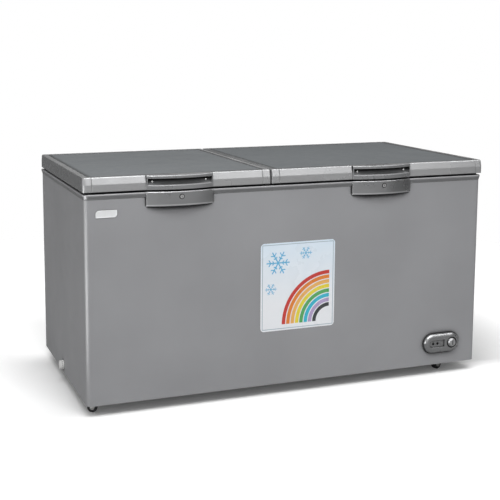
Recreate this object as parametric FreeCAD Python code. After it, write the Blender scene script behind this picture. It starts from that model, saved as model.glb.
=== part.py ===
import FreeCAD, Part
import math
import os

Vector = FreeCAD.Vector

# Frame: the floor is z = 0, the front faces -Y and +X runs to the right of someone facing the front.
# The origin is on the floor below the middle of the cabinet. All sizes are millimetres.

# Cabinet shell and insulation
CABINET_WIDTH = 1560.0
CABINET_DEPTH = 750.0
SHELL_HEIGHT = 720.0
SHELL_CORNER_RADIUS = 20.0
SHEET = 1.0
FOAM_WALL = 60.0
FOAM_FLOOR = 60.0
LINER_SHEET = 1.0
LINER_CORNER_RADIUS = 6.0

# Compressor bay at the right-hand end of the base
BAY_WIDTH = 330.0
BAY_HEIGHT = 300.0

# Moulded collar round the mouth, and the beam across it
COLLAR_HEIGHT = 17.0
COLLAR_OVERHANG = 4.0
COLLAR_PLATE = 3.0
COLLAR_LIP = 3.0
COLLAR_LIP_DEPTH = 28.0
COLLAR_BEAD_HEIGHT = 6.0
COLLAR_LEAN = 2.2
COLLAR_UNDERCUT_HEIGHT = 4.0
COLLAR_UNDERCUT_DEPTH = 3.0
COLLAR_EDGE_ROUND = 2.5
BEAM_WIDTH = 64.0
BEAM_HEIGHT = 36.0

# Lids
LEFT_LID_WIDTH = 680.5
LID_GAP = 5.0
LID_THICKNESS = 50.0
LID_CORNER_RADIUS = 12.0
LID_SEAM_CORNER_RADIUS = 4.0
RAIL_TOP_WIDTH = 22.0
RAIL_BASE_WIDTH = 28.0
RAIL_BEVEL_HEIGHT = 22.0
RAIL_BEVEL_INSET = 6.0
RAIL_END_BEVEL_INSET = 1.0
RAIL_CROWN_HEIGHT = 3.0
RAIL_CROWN_INSET = 2.5
CORNER_PIECE_REACH = 2.0
CORNER_SEAM = 0.4
PANEL_GROOVE = 3.0
PANEL_DROP = 1.0
PANEL_HEM = 8.0
INNER_PANEL_SHEET = 2.0
PLUG_DEPTH = 18.0
PLUG_CLEARANCE = 18.0
PLUG_CORNER_RADIUS = 20.0
GASKET_HEIGHT = 8.0
GASKET_WIDTH = 14.0
GASKET_INSET = 10.0
GASKET_CORNER_RADIUS = 6.0
GASKET_CLEARANCE = 0.3

# Lid handles and the lock housings below them
HANDLE_WIDTH = 240.0
HANDLE_END_OUT = 3.0
HANDLE_MID_OUT = 23.0
HANDLE_EDGE_ROUND = 4.0
RECESS_END = 4.0
RECESS_BOTTOM = 15.5
RECESS_TOP = 12.0
RECESS_DEPTH = 9.0
RECESS_SCOOP_RADIUS = 7.0
RECESS_EDGE_ROUND = 2.0
HANDLE_SCREW_INSET = 19.0
HANDLE_SCREW_RADIUS = 4.0
HANDLE_SCREW_HEAD = 2.5
HOUSING_RISE = 1.0
HOUSING_HEIGHT = 51.0
LOCK_DROP = 17.0
LOCK_RADIUS = 9.0
LOCK_PROUD = 1.0
LOCK_CLEARANCE = 0.1
KEYWAY_LENGTH = 8.0
KEYWAY_WIDTH = 2.0
KEYWAY_DEPTH = 5.0
CAM_LENGTH = 34.0
CAM_WIDTH = 10.0
CAM_THICKNESS = 3.0
CAM_CLEARANCE = 1.5

# Rear hinges, two to a lid
HINGE_INSET = 110.0
HINGE_PIN_RADIUS = 4.0
HINGE_PIN_HEAD_RADIUS = 6.0
HINGE_PIN_HEAD = 2.0
HINGE_EYE_RADIUS = 8.0
HINGE_KNUCKLE_STEP = 1.0
HINGE_ARM_WIDTH = 36.0
HINGE_ARM_SHEET = 3.0
HINGE_ARM_RISE = 3.0
HINGE_ARM_HEIGHT = 21.0
HINGE_EAR_SHEET = 3.0
HINGE_EAR_CLEARANCE = 0.5
HINGE_PLATE_SHEET = 3.0
HINGE_PLATE_HEIGHT = 70.0
HINGE_COLLAR_CLEARANCE = 2.0
HINGE_FIT = 0.1

# Thermostat control on the front
BEZEL_WIDTH = 154.0
BEZEL_HEIGHT = 74.0
BEZEL_OUT = 16.0
BEZEL_EDGE_ROUND = 11.0
BEZEL_FROM_RIGHT = 158.0
BEZEL_RISE = 86.0
WINDOW_WIDTH = 66.0
WINDOW_HEIGHT = 28.0
WINDOW_DEPTH = 4.0
WINDOW_OFFSET = -24.0
LENS_OFFSET = -29.5
LENS_SPACING = 19.0
LENS_RADIUS = 4.5
LENS_PROUD = 1.0
KNOB_OFFSET = 42.0
KNOB_RADIUS = 17.5
KNOB_FACE_RADIUS = 12.5
KNOB_SKIRT = 5.0
KNOB_HEIGHT = 13.0
KNOB_WELL_DEPTH = 6.0
KNOB_WELL_GAP = 4.0
KNOB_FLOOR_GAP = 0.5
KNOB_GROOVES = 24
KNOB_GROOVE_RADIUS = 1.2
KNOB_SLOT_LENGTH = 17.0
KNOB_SLOT_WIDTH = 3.0
KNOB_SLOT_DEPTH = 3.0
KNOB_EDGE_ROUND = 1.5
SHAFT_RADIUS = 3.0
SHAFT_FIT = 0.1
SHAFT_ENGAGEMENT = 9.0
THERMOSTAT_WIDTH = 44.0
THERMOSTAT_DEPTH = 36.0
THERMOSTAT_HEIGHT = 40.0
PANEL_HOLE_RADIUS = 7.0

# Drain through the left-hand end
DRAIN_FROM_FRONT = 400.0
DRAIN_RISE = 29.0
DRAIN_INTAKE_FROM_LINER = 60.0
DRAIN_OUTER_RADIUS = 10.0
DRAIN_BORE_RADIUS = 7.0
DRAIN_FLANGE_RADIUS = 18.0
DRAIN_FLANGE = 3.0
DRAIN_CAP_RADIUS = 15.0
DRAIN_CAP_LENGTH = 11.0
DRAIN_CAP_RIBS = 18
DRAIN_CAP_RIB_RADIUS = 1.4
DRAIN_PLUG_LENGTH = 14.0
DRAIN_PLUG_FIT = 0.3
TUNNEL_CLEARANCE = 0.3

# Refrigerant circuit
CONDENSER_TUBE_RADIUS = 3.0
CONDENSER_BEND = 30.0
CONDENSER_RUN_PITCH = 100.0
CONDENSER_RUNS = 6
CONDENSER_FIRST_RISE = 65.0
CONDENSER_RETURN_RISE = 215.0
EVAPORATOR_TUBE_RADIUS = 4.0
EVAPORATOR_RUN_PITCH = 120.0
EVAPORATOR_RUNS = 4
EVAPORATOR_FIRST_RISE = 105.0
EVAPORATOR_RETURN_RISE = 155.0
COIL_END_MARGIN = 80.0
COIL_TURN_MARGIN = 110.0
COIL_DROP_MARGIN = 45.0
COIL_WALL_GAP = 0.2
COIL_STUB = 8.0
CAPILLARY_RADIUS = 1.5
CAPILLARY_BEND = 14.0
CAPILLARY_REACH = 30.0
LIQUID_LINE_REACH = 36.0
LIQUID_LINE_BEND = 14.0
DRIER_RADIUS = 9.0
DRIER_LENGTH = 80.0
DRIER_NECK = 12.0
PIPE_BEND = 30.0

# Compressor and what carries it
COMPRESSOR_FROM_RIGHT = 165.0
COMPRESSOR_BACK_OFFSET = 80.0
COMPRESSOR_RADIUS = 72.0
COMPRESSOR_WALL_HEIGHT = 90.0
COMPRESSOR_DOME_HEIGHT = 40.0
COMPRESSOR_FOOT_LENGTH = 190.0
COMPRESSOR_FOOT_DEPTH = 130.0
COMPRESSOR_FOOT_SHEET = 3.0
COMPRESSOR_BOLT_X = 150.0
COMPRESSOR_BOLT_Y = 90.0
GROMMET_RADIUS = 13.0
GROMMET_HEIGHT = 18.0
GROMMET_NECK_RADIUS = 6.0
DISCHARGE_OFFSET = -25.0
SUCTION_OFFSET = 10.0
TERMINAL_BOX_WIDTH = 46.0
TERMINAL_BOX_DEPTH = 60.0
TERMINAL_BOX_HEIGHT = 70.0
TERMINAL_BOX_RISE = 40.0

# Vent grille and cord gland
GRILLE_WIDTH = 340.0
GRILLE_HEIGHT = 220.0
GRILLE_RISE = 45.0
GRILLE_BACK_OFFSET = 60.0
GRILLE_SHEET = 3.0
GRILLE_OVERLAP = 9.0
GRILLE_SLOT_HEIGHT = 9.0
GRILLE_SLOT_PITCH = 20.0
GRILLE_SLOT_MARGIN = 14.0
GLAND_OFFSET = 60.0
GLAND_RISE = 110.0
GLAND_FLANGE_RADIUS = 14.0
GLAND_FLANGE = 4.0
GLAND_NECK_RADIUS = 9.0
GLAND_NECK = 10.0
GLAND_BORE_RADIUS = 4.5

# Swivel casters
CASTER_LEFT_INSET = 48.0
CASTER_RIGHT_INSET = 140.0
CASTER_END_INSET = 70.0
CASTER_PLATE_SIZE = 44.0
CASTER_PLATE_SHEET = 2.0
CASTER_PLATE_ROUND = 4.0
CASTER_TRAIL = 13.0
CASTER_WHEEL_RADIUS = 18.0
CASTER_WHEEL_WIDTH = 20.0
CASTER_WHEEL_ROUND = 3.0
CASTER_WHEEL_GAP = 0.7
CASTER_HUB_RADIUS = 9.0
CASTER_HUB_DEPTH = 2.0
CASTER_AXLE_RADIUS = 3.0
CASTER_AXLE_HEAD_RADIUS = 4.5
CASTER_AXLE_HEAD = 1.5
CASTER_FIT = 0.1
CASTER_CHEEK_SHEET = 2.0
CASTER_CHEEK_GAP = 0.8
CASTER_CHEEK_RADIUS = 8.0
CASTER_CROWN_RADIUS = 17.0
CASTER_CROWN_SHEET = 3.0
CASTER_CROWN_GAP = 1.0
CASTER_STEM_RADIUS = 4.0
CASTER_STEM_HEAD_RADIUS = 6.5
CASTER_STEM_HEAD = 2.0
CASTER_STEM_FIT = 0.3
CASTER_TURNS = {"front_left": 160.0, "front_right": 12.0, "rear_left": 35.0, "rear_right": -20.0}

# Planes that several pieces share
HALF_WIDTH = CABINET_WIDTH / 2
HALF_DEPTH = CABINET_DEPTH / 2
BASE_Z = (
    2 * CASTER_WHEEL_RADIUS + CASTER_WHEEL_GAP + CASTER_STEM_HEAD + CASTER_STEM_FIT + CASTER_CROWN_SHEET
    + CASTER_CROWN_GAP + CASTER_PLATE_SHEET)
BASE_TOP_Z = BASE_Z + SHEET
COLLAR_BOTTOM_Z = BASE_Z + SHELL_HEIGHT
COLLAR_TOP_Z = COLLAR_BOTTOM_Z + COLLAR_HEIGHT
WALL_TOP_Z = COLLAR_TOP_Z - COLLAR_PLATE
LID_BOTTOM_Z = COLLAR_TOP_Z + GASKET_HEIGHT
LID_TOP_Z = LID_BOTTOM_Z + LID_THICKNESS
RIM_X = HALF_WIDTH + COLLAR_OVERHANG
RIM_Y = HALF_DEPTH + COLLAR_OVERHANG
WALL = SHEET + FOAM_WALL + LINER_SHEET
LINER_X = HALF_WIDTH - WALL
LINER_Y = HALF_DEPTH - WALL
LINER_FLOOR_Z = BASE_TOP_Z + FOAM_FLOOR + LINER_SHEET
BAY_X = HALF_WIDTH - SHEET - BAY_WIDTH
BAY_TOP_Z = BASE_TOP_Z + BAY_HEIGHT
STEP_X = BAY_X - WALL
STEP_TOP_Z = BAY_TOP_Z + WALL
MOUTH_X = LINER_X - COLLAR_LIP
MOUTH_Y = LINER_Y - COLLAR_LIP
SEAM_X = -RIM_X + LEFT_LID_WIDTH + LID_GAP / 2
LIDS = {
    "left": (-RIM_X, -RIM_X + LEFT_LID_WIDTH),
    "right": (-RIM_X + LEFT_LID_WIDTH + LID_GAP, RIM_X),
}
LEDGE_Z = LID_TOP_Z - PANEL_DROP - PANEL_HEM
CORNER_PIECE_LENGTH = RAIL_BASE_WIDTH + CORNER_PIECE_REACH
RECESS_LOW_Z = LID_BOTTOM_Z + RECESS_BOTTOM
RECESS_HIGH_Z = LID_TOP_Z - RECESS_TOP
RECESS_REACH = HANDLE_WIDTH / 2 - RECESS_END
COMPRESSOR_X = HALF_WIDTH - COMPRESSOR_FROM_RIGHT
COMPRESSOR_Y = COMPRESSOR_BACK_OFFSET
COMPRESSOR_Z = BASE_TOP_Z + GROMMET_HEIGHT
BEZEL_X = HALF_WIDTH - BEZEL_FROM_RIGHT
BEZEL_Z = BASE_Z + BEZEL_RISE
DRAIN_Y = -HALF_DEPTH + DRAIN_FROM_FRONT
DRAIN_Z = BASE_Z + DRAIN_RISE
HINGE_Y = RIM_Y + HINGE_COLLAR_CLEARANCE + HINGE_EYE_RADIUS
HINGE_Z = LID_BOTTOM_Z
LOCK_Z = COLLAR_TOP_Z - LOCK_DROP
CAM_BACK_Y = -RIM_Y - CAM_CLEARANCE
CAM_FRONT_Y = CAM_BACK_Y - CAM_THICKNESS
CASTER_X = {"left": -HALF_WIDTH + CASTER_LEFT_INSET, "right": HALF_WIDTH - CASTER_RIGHT_INSET}
CASTER_Y = {"front": -HALF_DEPTH + CASTER_END_INSET, "rear": HALF_DEPTH - CASTER_END_INSET}

# How far cutters run past what they cut, and how near an edge lies to a plane that holds it
PAST = 1.0
TOUCH = 0.01


def box(x_low, x_high, y_low, y_high, z_low, z_high):
    """Block between two corners."""
    corner = Vector(x_low, y_low, z_low)
    return Part.makeBox(x_high - x_low, y_high - y_low, z_high - z_low, corner)


def rod(start, axis, radius, length):
    """Round bar from a point along an axis."""
    return Part.makeCylinder(radius, length, start, axis)


def rounded_outline(x_low, x_high, y_low, y_high, z, radii):
    """Level rectangle with four corner radii, in the order front left and right, back right and left."""
    corners = [
        (x_low, y_low, 1, 1, 180),
        (x_high, y_low, -1, 1, 270),
        (x_high, y_high, -1, -1, 0),
        (x_low, y_high, 1, -1, 90),
    ]
    arcs = []
    ends = []
    for (x, y, toward_x, toward_y, start), radius in zip(corners, radii):
        centre = Vector(x + toward_x * radius, y + toward_y * radius, z)
        if radius == 0:
            arcs.append(None)
            ends.append((centre, centre))
            continue
        arc = Part.makeCircle(radius, centre, Vector(0, 0, 1), start, start + 90)
        arcs.append(arc)
        ends.append((arc.firstVertex().Point, arc.lastVertex().Point))
    edges = []
    for index in range(len(corners)):
        if arcs[index]:
            edges.append(arcs[index])
        leave = ends[index][1]
        arrive = ends[(index + 1) % len(corners)][0]
        edges.append(Part.makeLine(leave, arrive))
    return Part.Wire(edges)


def all_corners(radius):
    """One radius for the four corners of an outline."""
    return (radius, radius, radius, radius)


def front_corners(radius, back_radius=0):
    """Radii of an outline whose front corners are rounded more than its back ones."""
    return (radius, radius, back_radius, back_radius)


def rounded_block(x_low, x_high, y_low, y_high, z_low, z_high, radii):
    """Upright prism on a rounded rectangle."""
    outline = rounded_outline(x_low, x_high, y_low, y_high, z_low, radii)
    return Part.Face(outline).extrude(Vector(0, 0, z_high - z_low))


def polygon_prism(points, along):
    """Prism on a closed polygon of 3-D points."""
    return Part.Face(Part.makePolygon(points + points[:1])).extrude(along)


def bent_path(points, bend):
    """Polyline whose corners are rounded by tangent arcs of one radius."""
    edges = []
    last = points[0]
    for before, corner, after in zip(points, points[1:], points[2:]):
        back = (before - corner).normalize()
        onward = (after - corner).normalize()
        half_turn = (math.pi - back.getAngle(onward)) / 2
        reach = bend * math.tan(half_turn)
        inward = (back + onward).normalize()
        middle = corner + inward * (bend / math.cos(half_turn) - bend)
        enter = corner + back * reach
        leave = corner + onward * reach
        edges.append(Part.makeLine(last, enter))
        edges.append(Part.Arc(enter, middle, leave).toShape())
        last = leave
    edges.append(Part.makeLine(last, points[-1]))
    return Part.Wire(edges)


def bent_tube(points, bend, radius):
    """Solid round tube along a polyline with rounded corners."""
    path = bent_path(points, bend)
    section = Part.Wire(Part.makeCircle(radius, points[0], points[1] - points[0]))
    return path.makePipeShell([section], True, False)


def edges_at_front(shape, y):
    """Edges that lie wholly in the upright plane at a depth."""
    return [edge for edge in shape.Edges if abs(edge.BoundBox.YMin - y) + abs(edge.BoundBox.YMax - y) < TOUCH]


def edges_at_level(shape, z):
    """Edges that lie wholly in the level plane at a height."""
    return [edge for edge in shape.Edges if abs(edge.BoundBox.ZMin - z) + abs(edge.BoundBox.ZMax - z) < TOUCH]


def one_solid(shape):
    """The single cleaned solid of a boolean result."""
    cleaned = shape.removeSplitter()
    return cleaned.Solids[0]


def liner_form(grow):
    """Storage space with its step over the compressor bay, grown outwards on all sides but the top."""
    space = rounded_block(
        -LINER_X - grow, LINER_X + grow, -LINER_Y - grow, LINER_Y + grow,
        LINER_FLOOR_Z - grow, WALL_TOP_Z, all_corners(LINER_CORNER_RADIUS + grow))
    step = box(
        STEP_X + grow, HALF_WIDTH, -HALF_DEPTH, HALF_DEPTH,
        BASE_Z, STEP_TOP_Z - grow)
    return space.cut(step)


def cavity_block(z_low, z_high):
    """Space inside the painted shell between two levels."""
    return rounded_block(
        -HALF_WIDTH + SHEET, HALF_WIDTH - SHEET, -HALF_DEPTH + SHEET, HALF_DEPTH - SHEET,
        z_low, z_high, front_corners(SHELL_CORNER_RADIUS - SHEET))


def coil_points(front_y, left_x, back_points, bend_levels, stub_x, turn_x, drop_x, return_z):
    """Corner points of a serpentine that starts and ends at stub_x beside the compressor bay."""
    points = [Vector(stub_x, front_y, bend_levels[0])]
    for index, level in enumerate(bend_levels):
        out = [Vector(left_x, front_y, level)] + [Vector(x, y, level) for x, y in back_points]
        if index % 2 == 0:
            points += out
        else:
            points += out[::-1]
            last = index == len(bend_levels) - 1
            end_x = drop_x if last else turn_x
            points.append(Vector(end_x, front_y, level))
            if not last:
                points.append(Vector(turn_x, front_y, bend_levels[index + 1]))
    points.append(Vector(drop_x, front_y, return_z))
    points.append(Vector(stub_x, front_y, return_z))
    return points


def condenser_tube(radius):
    """Hot tube bonded behind the front and left skin, made at a given tube radius."""
    offset = SHEET + CONDENSER_TUBE_RADIUS + COIL_WALL_GAP
    left_x = -HALF_WIDTH + offset
    levels = [BASE_Z + CONDENSER_FIRST_RISE + CONDENSER_RUN_PITCH * run for run in range(CONDENSER_RUNS)]
    points = coil_points(
        -HALF_DEPTH + offset, left_x, [(left_x, HALF_DEPTH - COIL_END_MARGIN)], levels,
        BAY_X + COIL_STUB, BAY_X - COIL_TURN_MARGIN, BAY_X - COIL_DROP_MARGIN,
        BASE_Z + CONDENSER_RETURN_RISE)
    return bent_tube(points, CONDENSER_BEND, radius)


def evaporator_tube(radius):
    """Cold tube wound round the outside of the liner, made at a given tube radius."""
    offset = LINER_SHEET + EVAPORATOR_TUBE_RADIUS + COIL_WALL_GAP
    left_x = -LINER_X - offset
    front_y = -LINER_Y - offset
    turn_x = BAY_X - COIL_TURN_MARGIN
    levels = [BASE_Z + EVAPORATOR_FIRST_RISE + EVAPORATOR_RUN_PITCH * run for run in range(EVAPORATOR_RUNS)]
    points = coil_points(
        front_y, left_x, [(left_x, -front_y), (turn_x, -front_y)], levels,
        BAY_X + COIL_STUB, turn_x, BAY_X - COIL_DROP_MARGIN,
        BASE_Z + EVAPORATOR_RETURN_RISE)
    return bent_tube(points, LINER_CORNER_RADIUS + LINER_SHEET + EVAPORATOR_TUBE_RADIUS, radius)


def drain_path(radius):
    """Bar along the drain's route, from the liner floor down and out through the left-hand end."""
    intake_x = -LINER_X + DRAIN_INTAKE_FROM_LINER
    down = rod(Vector(intake_x, DRAIN_Y, DRAIN_Z), Vector(0, 0, 1), radius, LINER_FLOOR_Z - DRAIN_Z)
    elbow = Part.makeSphere(radius, Vector(intake_x, DRAIN_Y, DRAIN_Z))
    out = rod(Vector(-HALF_WIDTH, DRAIN_Y, DRAIN_Z), Vector(1, 0, 0), radius, intake_x + HALF_WIDTH)
    return down.fuse([elbow, out])


def make_outer_shell():
    """Painted wrap of the left end, the front and the right end, with its openings."""
    outer = rounded_block(
        -HALF_WIDTH, HALF_WIDTH, -HALF_DEPTH, HALF_DEPTH - SHEET,
        BASE_Z, WALL_TOP_Z, front_corners(SHELL_CORNER_RADIUS))
    inner = rounded_block(
        -HALF_WIDTH + SHEET, HALF_WIDTH - SHEET, -HALF_DEPTH + SHEET, HALF_DEPTH,
        BASE_Z, WALL_TOP_Z, front_corners(SHELL_CORNER_RADIUS - SHEET))
    shaft_hole = rod(
        Vector(BEZEL_X + KNOB_OFFSET, -HALF_DEPTH - PAST, BEZEL_Z), Vector(0, 1, 0),
        PANEL_HOLE_RADIUS, SHEET + 2 * PAST)
    lens_holes = [
        rod(Vector(x, -HALF_DEPTH - PAST, BEZEL_Z), Vector(0, 1, 0), LENS_RADIUS + TUNNEL_CLEARANCE,
            SHEET + 2 * PAST)
        for x in lens_centres()
    ]
    drain_hole = rod(
        Vector(-HALF_WIDTH - PAST, DRAIN_Y, DRAIN_Z), Vector(1, 0, 0),
        DRAIN_OUTER_RADIUS + TUNNEL_CLEARANCE, SHEET + 2 * PAST)
    vent = box(
        HALF_WIDTH - SHEET - PAST, HALF_WIDTH + PAST,
        GRILLE_BACK_OFFSET - GRILLE_WIDTH / 2, GRILLE_BACK_OFFSET + GRILLE_WIDTH / 2,
        BASE_Z + GRILLE_RISE, BASE_Z + GRILLE_RISE + GRILLE_HEIGHT)
    return one_solid(outer.cut([inner, shaft_hole, drain_hole, vent] + lens_holes))


def make_back_panel():
    """Flat sheet that closes the back, with a hole for the cord gland."""
    sheet = box(-HALF_WIDTH, HALF_WIDTH, HALF_DEPTH - SHEET, HALF_DEPTH, BASE_Z, WALL_TOP_Z)
    inside = gland_point() - Vector(0, SHEET + PAST, 0)
    hole = rod(inside, Vector(0, 1, 0), GLAND_NECK_RADIUS, SHEET + 2 * PAST)
    return one_solid(sheet.cut(hole))


def make_base_pan():
    """Floor sheet inside the foot of the shell."""
    return one_solid(cavity_block(BASE_Z, BASE_TOP_Z))


def make_bay_panel():
    """Bent sheet that parts the foam from the compressor bay."""
    cover = cavity_block(BASE_TOP_Z, BAY_TOP_Z + SHEET).common(
        box(BAY_X - SHEET, HALF_WIDTH, -HALF_DEPTH, HALF_DEPTH, BASE_Z, BAY_TOP_Z + SHEET))
    bay = box(BAY_X, HALF_WIDTH, -HALF_DEPTH, HALF_DEPTH, BASE_Z, BAY_TOP_Z)
    sheet = cover.cut([bay, condenser_tunnel, evaporator_tunnel])
    return one_solid(sheet)


def make_foam():
    """Rigid foam between shell and liner, with channels for the coils and the drain."""
    filling = cavity_block(BASE_TOP_Z, WALL_TOP_Z)
    bay = box(
        BAY_X - SHEET, HALF_WIDTH, -HALF_DEPTH, HALF_DEPTH,
        BASE_Z, BAY_TOP_Z + SHEET)
    drain_tunnel = drain_path(DRAIN_OUTER_RADIUS + TUNNEL_CLEARANCE)
    lip_slot = collar_lip(TUNNEL_CLEARANCE)
    channels = [condenser_tunnel, evaporator_tunnel, drain_tunnel]
    return one_solid(filling.cut([liner_form(LINER_SHEET), bay, lip_slot] + channels))


def make_liner():
    """Seven sheets of the inner box: floor, riser, step, two ends with their bent corners, front and back."""
    drain = rod(
        Vector(-LINER_X + DRAIN_INTAKE_FROM_LINER, DRAIN_Y, LINER_FLOOR_Z - LINER_SHEET - PAST),
        Vector(0, 0, 1), DRAIN_OUTER_RADIUS + TUNNEL_CLEARANCE, LINER_SHEET + 2 * PAST)
    tub = liner_form(LINER_SHEET).cut([liner_form(0), drain])
    bend_x = LINER_X - LINER_CORNER_RADIUS
    step_low = STEP_TOP_Z - LINER_SHEET
    zones = [
        box(-HALF_WIDTH, HALF_WIDTH, -HALF_DEPTH, HALF_DEPTH, BASE_Z, LINER_FLOOR_Z),
        box(STEP_X, STEP_X + LINER_SHEET, -HALF_DEPTH, HALF_DEPTH, LINER_FLOOR_Z, step_low),
        box(STEP_X, HALF_WIDTH, -HALF_DEPTH, HALF_DEPTH, step_low, STEP_TOP_Z),
        box(-HALF_WIDTH, -bend_x, -HALF_DEPTH, HALF_DEPTH, LINER_FLOOR_Z, WALL_TOP_Z),
        box(bend_x, HALF_WIDTH, -HALF_DEPTH, HALF_DEPTH, STEP_TOP_Z, WALL_TOP_Z),
    ]
    sheets = [tub.common(zone) for zone in zones]
    sheets += tub.cut(zones).Solids
    return Part.makeCompound([one_solid(sheet) for sheet in sheets])


def collar_lip(grow):
    """Inner skirt of the collar that covers the liner's top edge."""
    outer = rounded_block(
        -LINER_X, LINER_X, -LINER_Y, LINER_Y, WALL_TOP_Z - COLLAR_LIP_DEPTH - grow, WALL_TOP_Z,
        all_corners(LINER_CORNER_RADIUS))
    inner = rounded_block(
        -MOUTH_X, MOUTH_X, -MOUTH_Y, MOUTH_Y, WALL_TOP_Z - COLLAR_LIP_DEPTH - grow, WALL_TOP_Z,
        all_corners(LINER_CORNER_RADIUS - COLLAR_LIP))
    return outer.cut(inner)


def collar_outline(inset, z):
    """Level outline of the collar's outer face, drawn in all round."""
    return rounded_outline(
        -RIM_X + inset, RIM_X - inset, -RIM_Y + inset, RIM_Y - inset, z,
        front_corners(SHELL_CORNER_RADIUS + COLLAR_OVERHANG - inset, COLLAR_OVERHANG - inset))


def collar_form():
    """Outer form of the collar: an upright bead, a face that leans in below it and a set-back foot."""
    bead_z = COLLAR_TOP_Z - COLLAR_BEAD_HEIGHT
    foot_z = COLLAR_BOTTOM_Z + COLLAR_UNDERCUT_HEIGHT
    bead = Part.Face(collar_outline(0, bead_z)).extrude(Vector(0, 0, COLLAR_BEAD_HEIGHT))
    bead = bead.makeFillet(COLLAR_EDGE_ROUND, edges_at_level(bead, COLLAR_TOP_Z))
    face = Part.makeLoft([collar_outline(COLLAR_LEAN, foot_z), collar_outline(0, bead_z)], True, True)
    foot = Part.Face(collar_outline(COLLAR_UNDERCUT_DEPTH, COLLAR_BOTTOM_Z)).extrude(
        Vector(0, 0, COLLAR_UNDERCUT_HEIGHT))
    return bead.fuse([face, foot])


def make_collar():
    """Moulded ring over the top of the walls, with a leaning outer skirt and an inner lip."""
    walls = rounded_block(
        -HALF_WIDTH, HALF_WIDTH, -HALF_DEPTH, HALF_DEPTH, COLLAR_BOTTOM_Z, WALL_TOP_Z,
        front_corners(SHELL_CORNER_RADIUS))
    mouth = rounded_block(
        -MOUTH_X, MOUTH_X, -MOUTH_Y, MOUTH_Y, WALL_TOP_Z, COLLAR_TOP_Z,
        all_corners(LINER_CORNER_RADIUS - COLLAR_LIP))
    ring = collar_form().cut([walls, mouth])
    return one_solid(ring.fuse(collar_lip(0)))


def make_beam():
    """Bar across the mouth that the two lids' facing seals close on."""
    return box(
        SEAM_X - BEAM_WIDTH / 2, SEAM_X + BEAM_WIDTH / 2, -MOUTH_Y, MOUTH_Y,
        COLLAR_TOP_Z - BEAM_HEIGHT, COLLAR_TOP_Z)


def compressor_profile():
    """Half outline of the compressor can, with ends domed as parts of a sphere, in the plane of its axis."""
    low = COMPRESSOR_Z + COMPRESSOR_FOOT_SHEET
    wall_low = low + COMPRESSOR_DOME_HEIGHT
    wall_high = wall_low + COMPRESSOR_WALL_HEIGHT
    high = wall_high + COMPRESSOR_DOME_HEIGHT
    sphere = (COMPRESSOR_RADIUS ** 2 + COMPRESSOR_DOME_HEIGHT ** 2) / (2 * COMPRESSOR_DOME_HEIGHT)
    half_angle = math.asin(COMPRESSOR_RADIUS / sphere) / 2
    across = sphere * math.sin(half_angle)
    fall = sphere * (1 - math.cos(half_angle))

    def at(radius, z):
        return Vector(COMPRESSOR_X + radius, COMPRESSOR_Y, z)

    return Part.Wire([
        Part.Arc(at(0, low), at(across, low + fall), at(COMPRESSOR_RADIUS, wall_low)).toShape(),
        Part.makeLine(at(COMPRESSOR_RADIUS, wall_low), at(COMPRESSOR_RADIUS, wall_high)),
        Part.Arc(at(COMPRESSOR_RADIUS, wall_high), at(across, high - fall), at(0, high)).toShape(),
        Part.makeLine(at(0, high), at(0, low)),
    ])


def compressor_can():
    """Welded can of the compressor."""
    axis_foot = Vector(COMPRESSOR_X, COMPRESSOR_Y, 0)
    return Part.Face(compressor_profile()).revolve(axis_foot, Vector(0, 0, 1), 360)


def grommet_points():
    """Feet of the four rubber mounts."""
    across = COMPRESSOR_BOLT_X / 2
    along = COMPRESSOR_BOLT_Y / 2
    offsets = [(-across, -along), (-across, along), (across, -along), (across, along)]
    return [Vector(COMPRESSOR_X + x, COMPRESSOR_Y + y, BASE_TOP_Z) for x, y in offsets]


def make_compressor():
    """Can on its foot plate, which is holed for the rubber mounts."""
    foot = box(
        COMPRESSOR_X - COMPRESSOR_FOOT_LENGTH / 2, COMPRESSOR_X + COMPRESSOR_FOOT_LENGTH / 2,
        COMPRESSOR_Y - COMPRESSOR_FOOT_DEPTH / 2, COMPRESSOR_Y + COMPRESSOR_FOOT_DEPTH / 2,
        COMPRESSOR_Z, COMPRESSOR_Z + COMPRESSOR_FOOT_SHEET)
    holes = [
        rod(point, Vector(0, 0, 1), GROMMET_NECK_RADIUS + TUNNEL_CLEARANCE, 2 * GROMMET_HEIGHT)
        for point in grommet_points()
    ]
    saddle = rod(
        Vector(COMPRESSOR_X, COMPRESSOR_Y, COMPRESSOR_Z), Vector(0, 0, 1),
        COMPRESSOR_FOOT_DEPTH / 2, COMPRESSOR_FOOT_SHEET + COMPRESSOR_DOME_HEIGHT)
    return one_solid(compressor_can().fuse([foot, saddle]).cut(holes))


def make_grommets():
    """Rubber mounts, each with a neck that holds the foot plate."""
    mounts = []
    for point in grommet_points():
        pad = rod(point, Vector(0, 0, 1), GROMMET_RADIUS, GROMMET_HEIGHT)
        neck = rod(point, Vector(0, 0, 1), GROMMET_NECK_RADIUS, GROMMET_HEIGHT + 2 * COMPRESSOR_FOOT_SHEET)
        mounts.append(one_solid(pad.fuse(neck)))
    return Part.makeCompound(mounts)


def make_terminal_box():
    """Cover of the starting relay, shaped to the side of the compressor."""
    z_low = COMPRESSOR_Z + COMPRESSOR_FOOT_SHEET + TERMINAL_BOX_RISE
    cover = box(
        COMPRESSOR_X, COMPRESSOR_X + COMPRESSOR_RADIUS + TERMINAL_BOX_WIDTH,
        COMPRESSOR_Y - TERMINAL_BOX_DEPTH / 2, COMPRESSOR_Y + TERMINAL_BOX_DEPTH / 2,
        z_low, z_low + TERMINAL_BOX_HEIGHT)
    clear = rod(
        Vector(COMPRESSOR_X, COMPRESSOR_Y, COMPRESSOR_Z), Vector(0, 0, 1),
        COMPRESSOR_RADIUS + TUNNEL_CLEARANCE, BAY_HEIGHT)
    return one_solid(cover.cut(clear))


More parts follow.
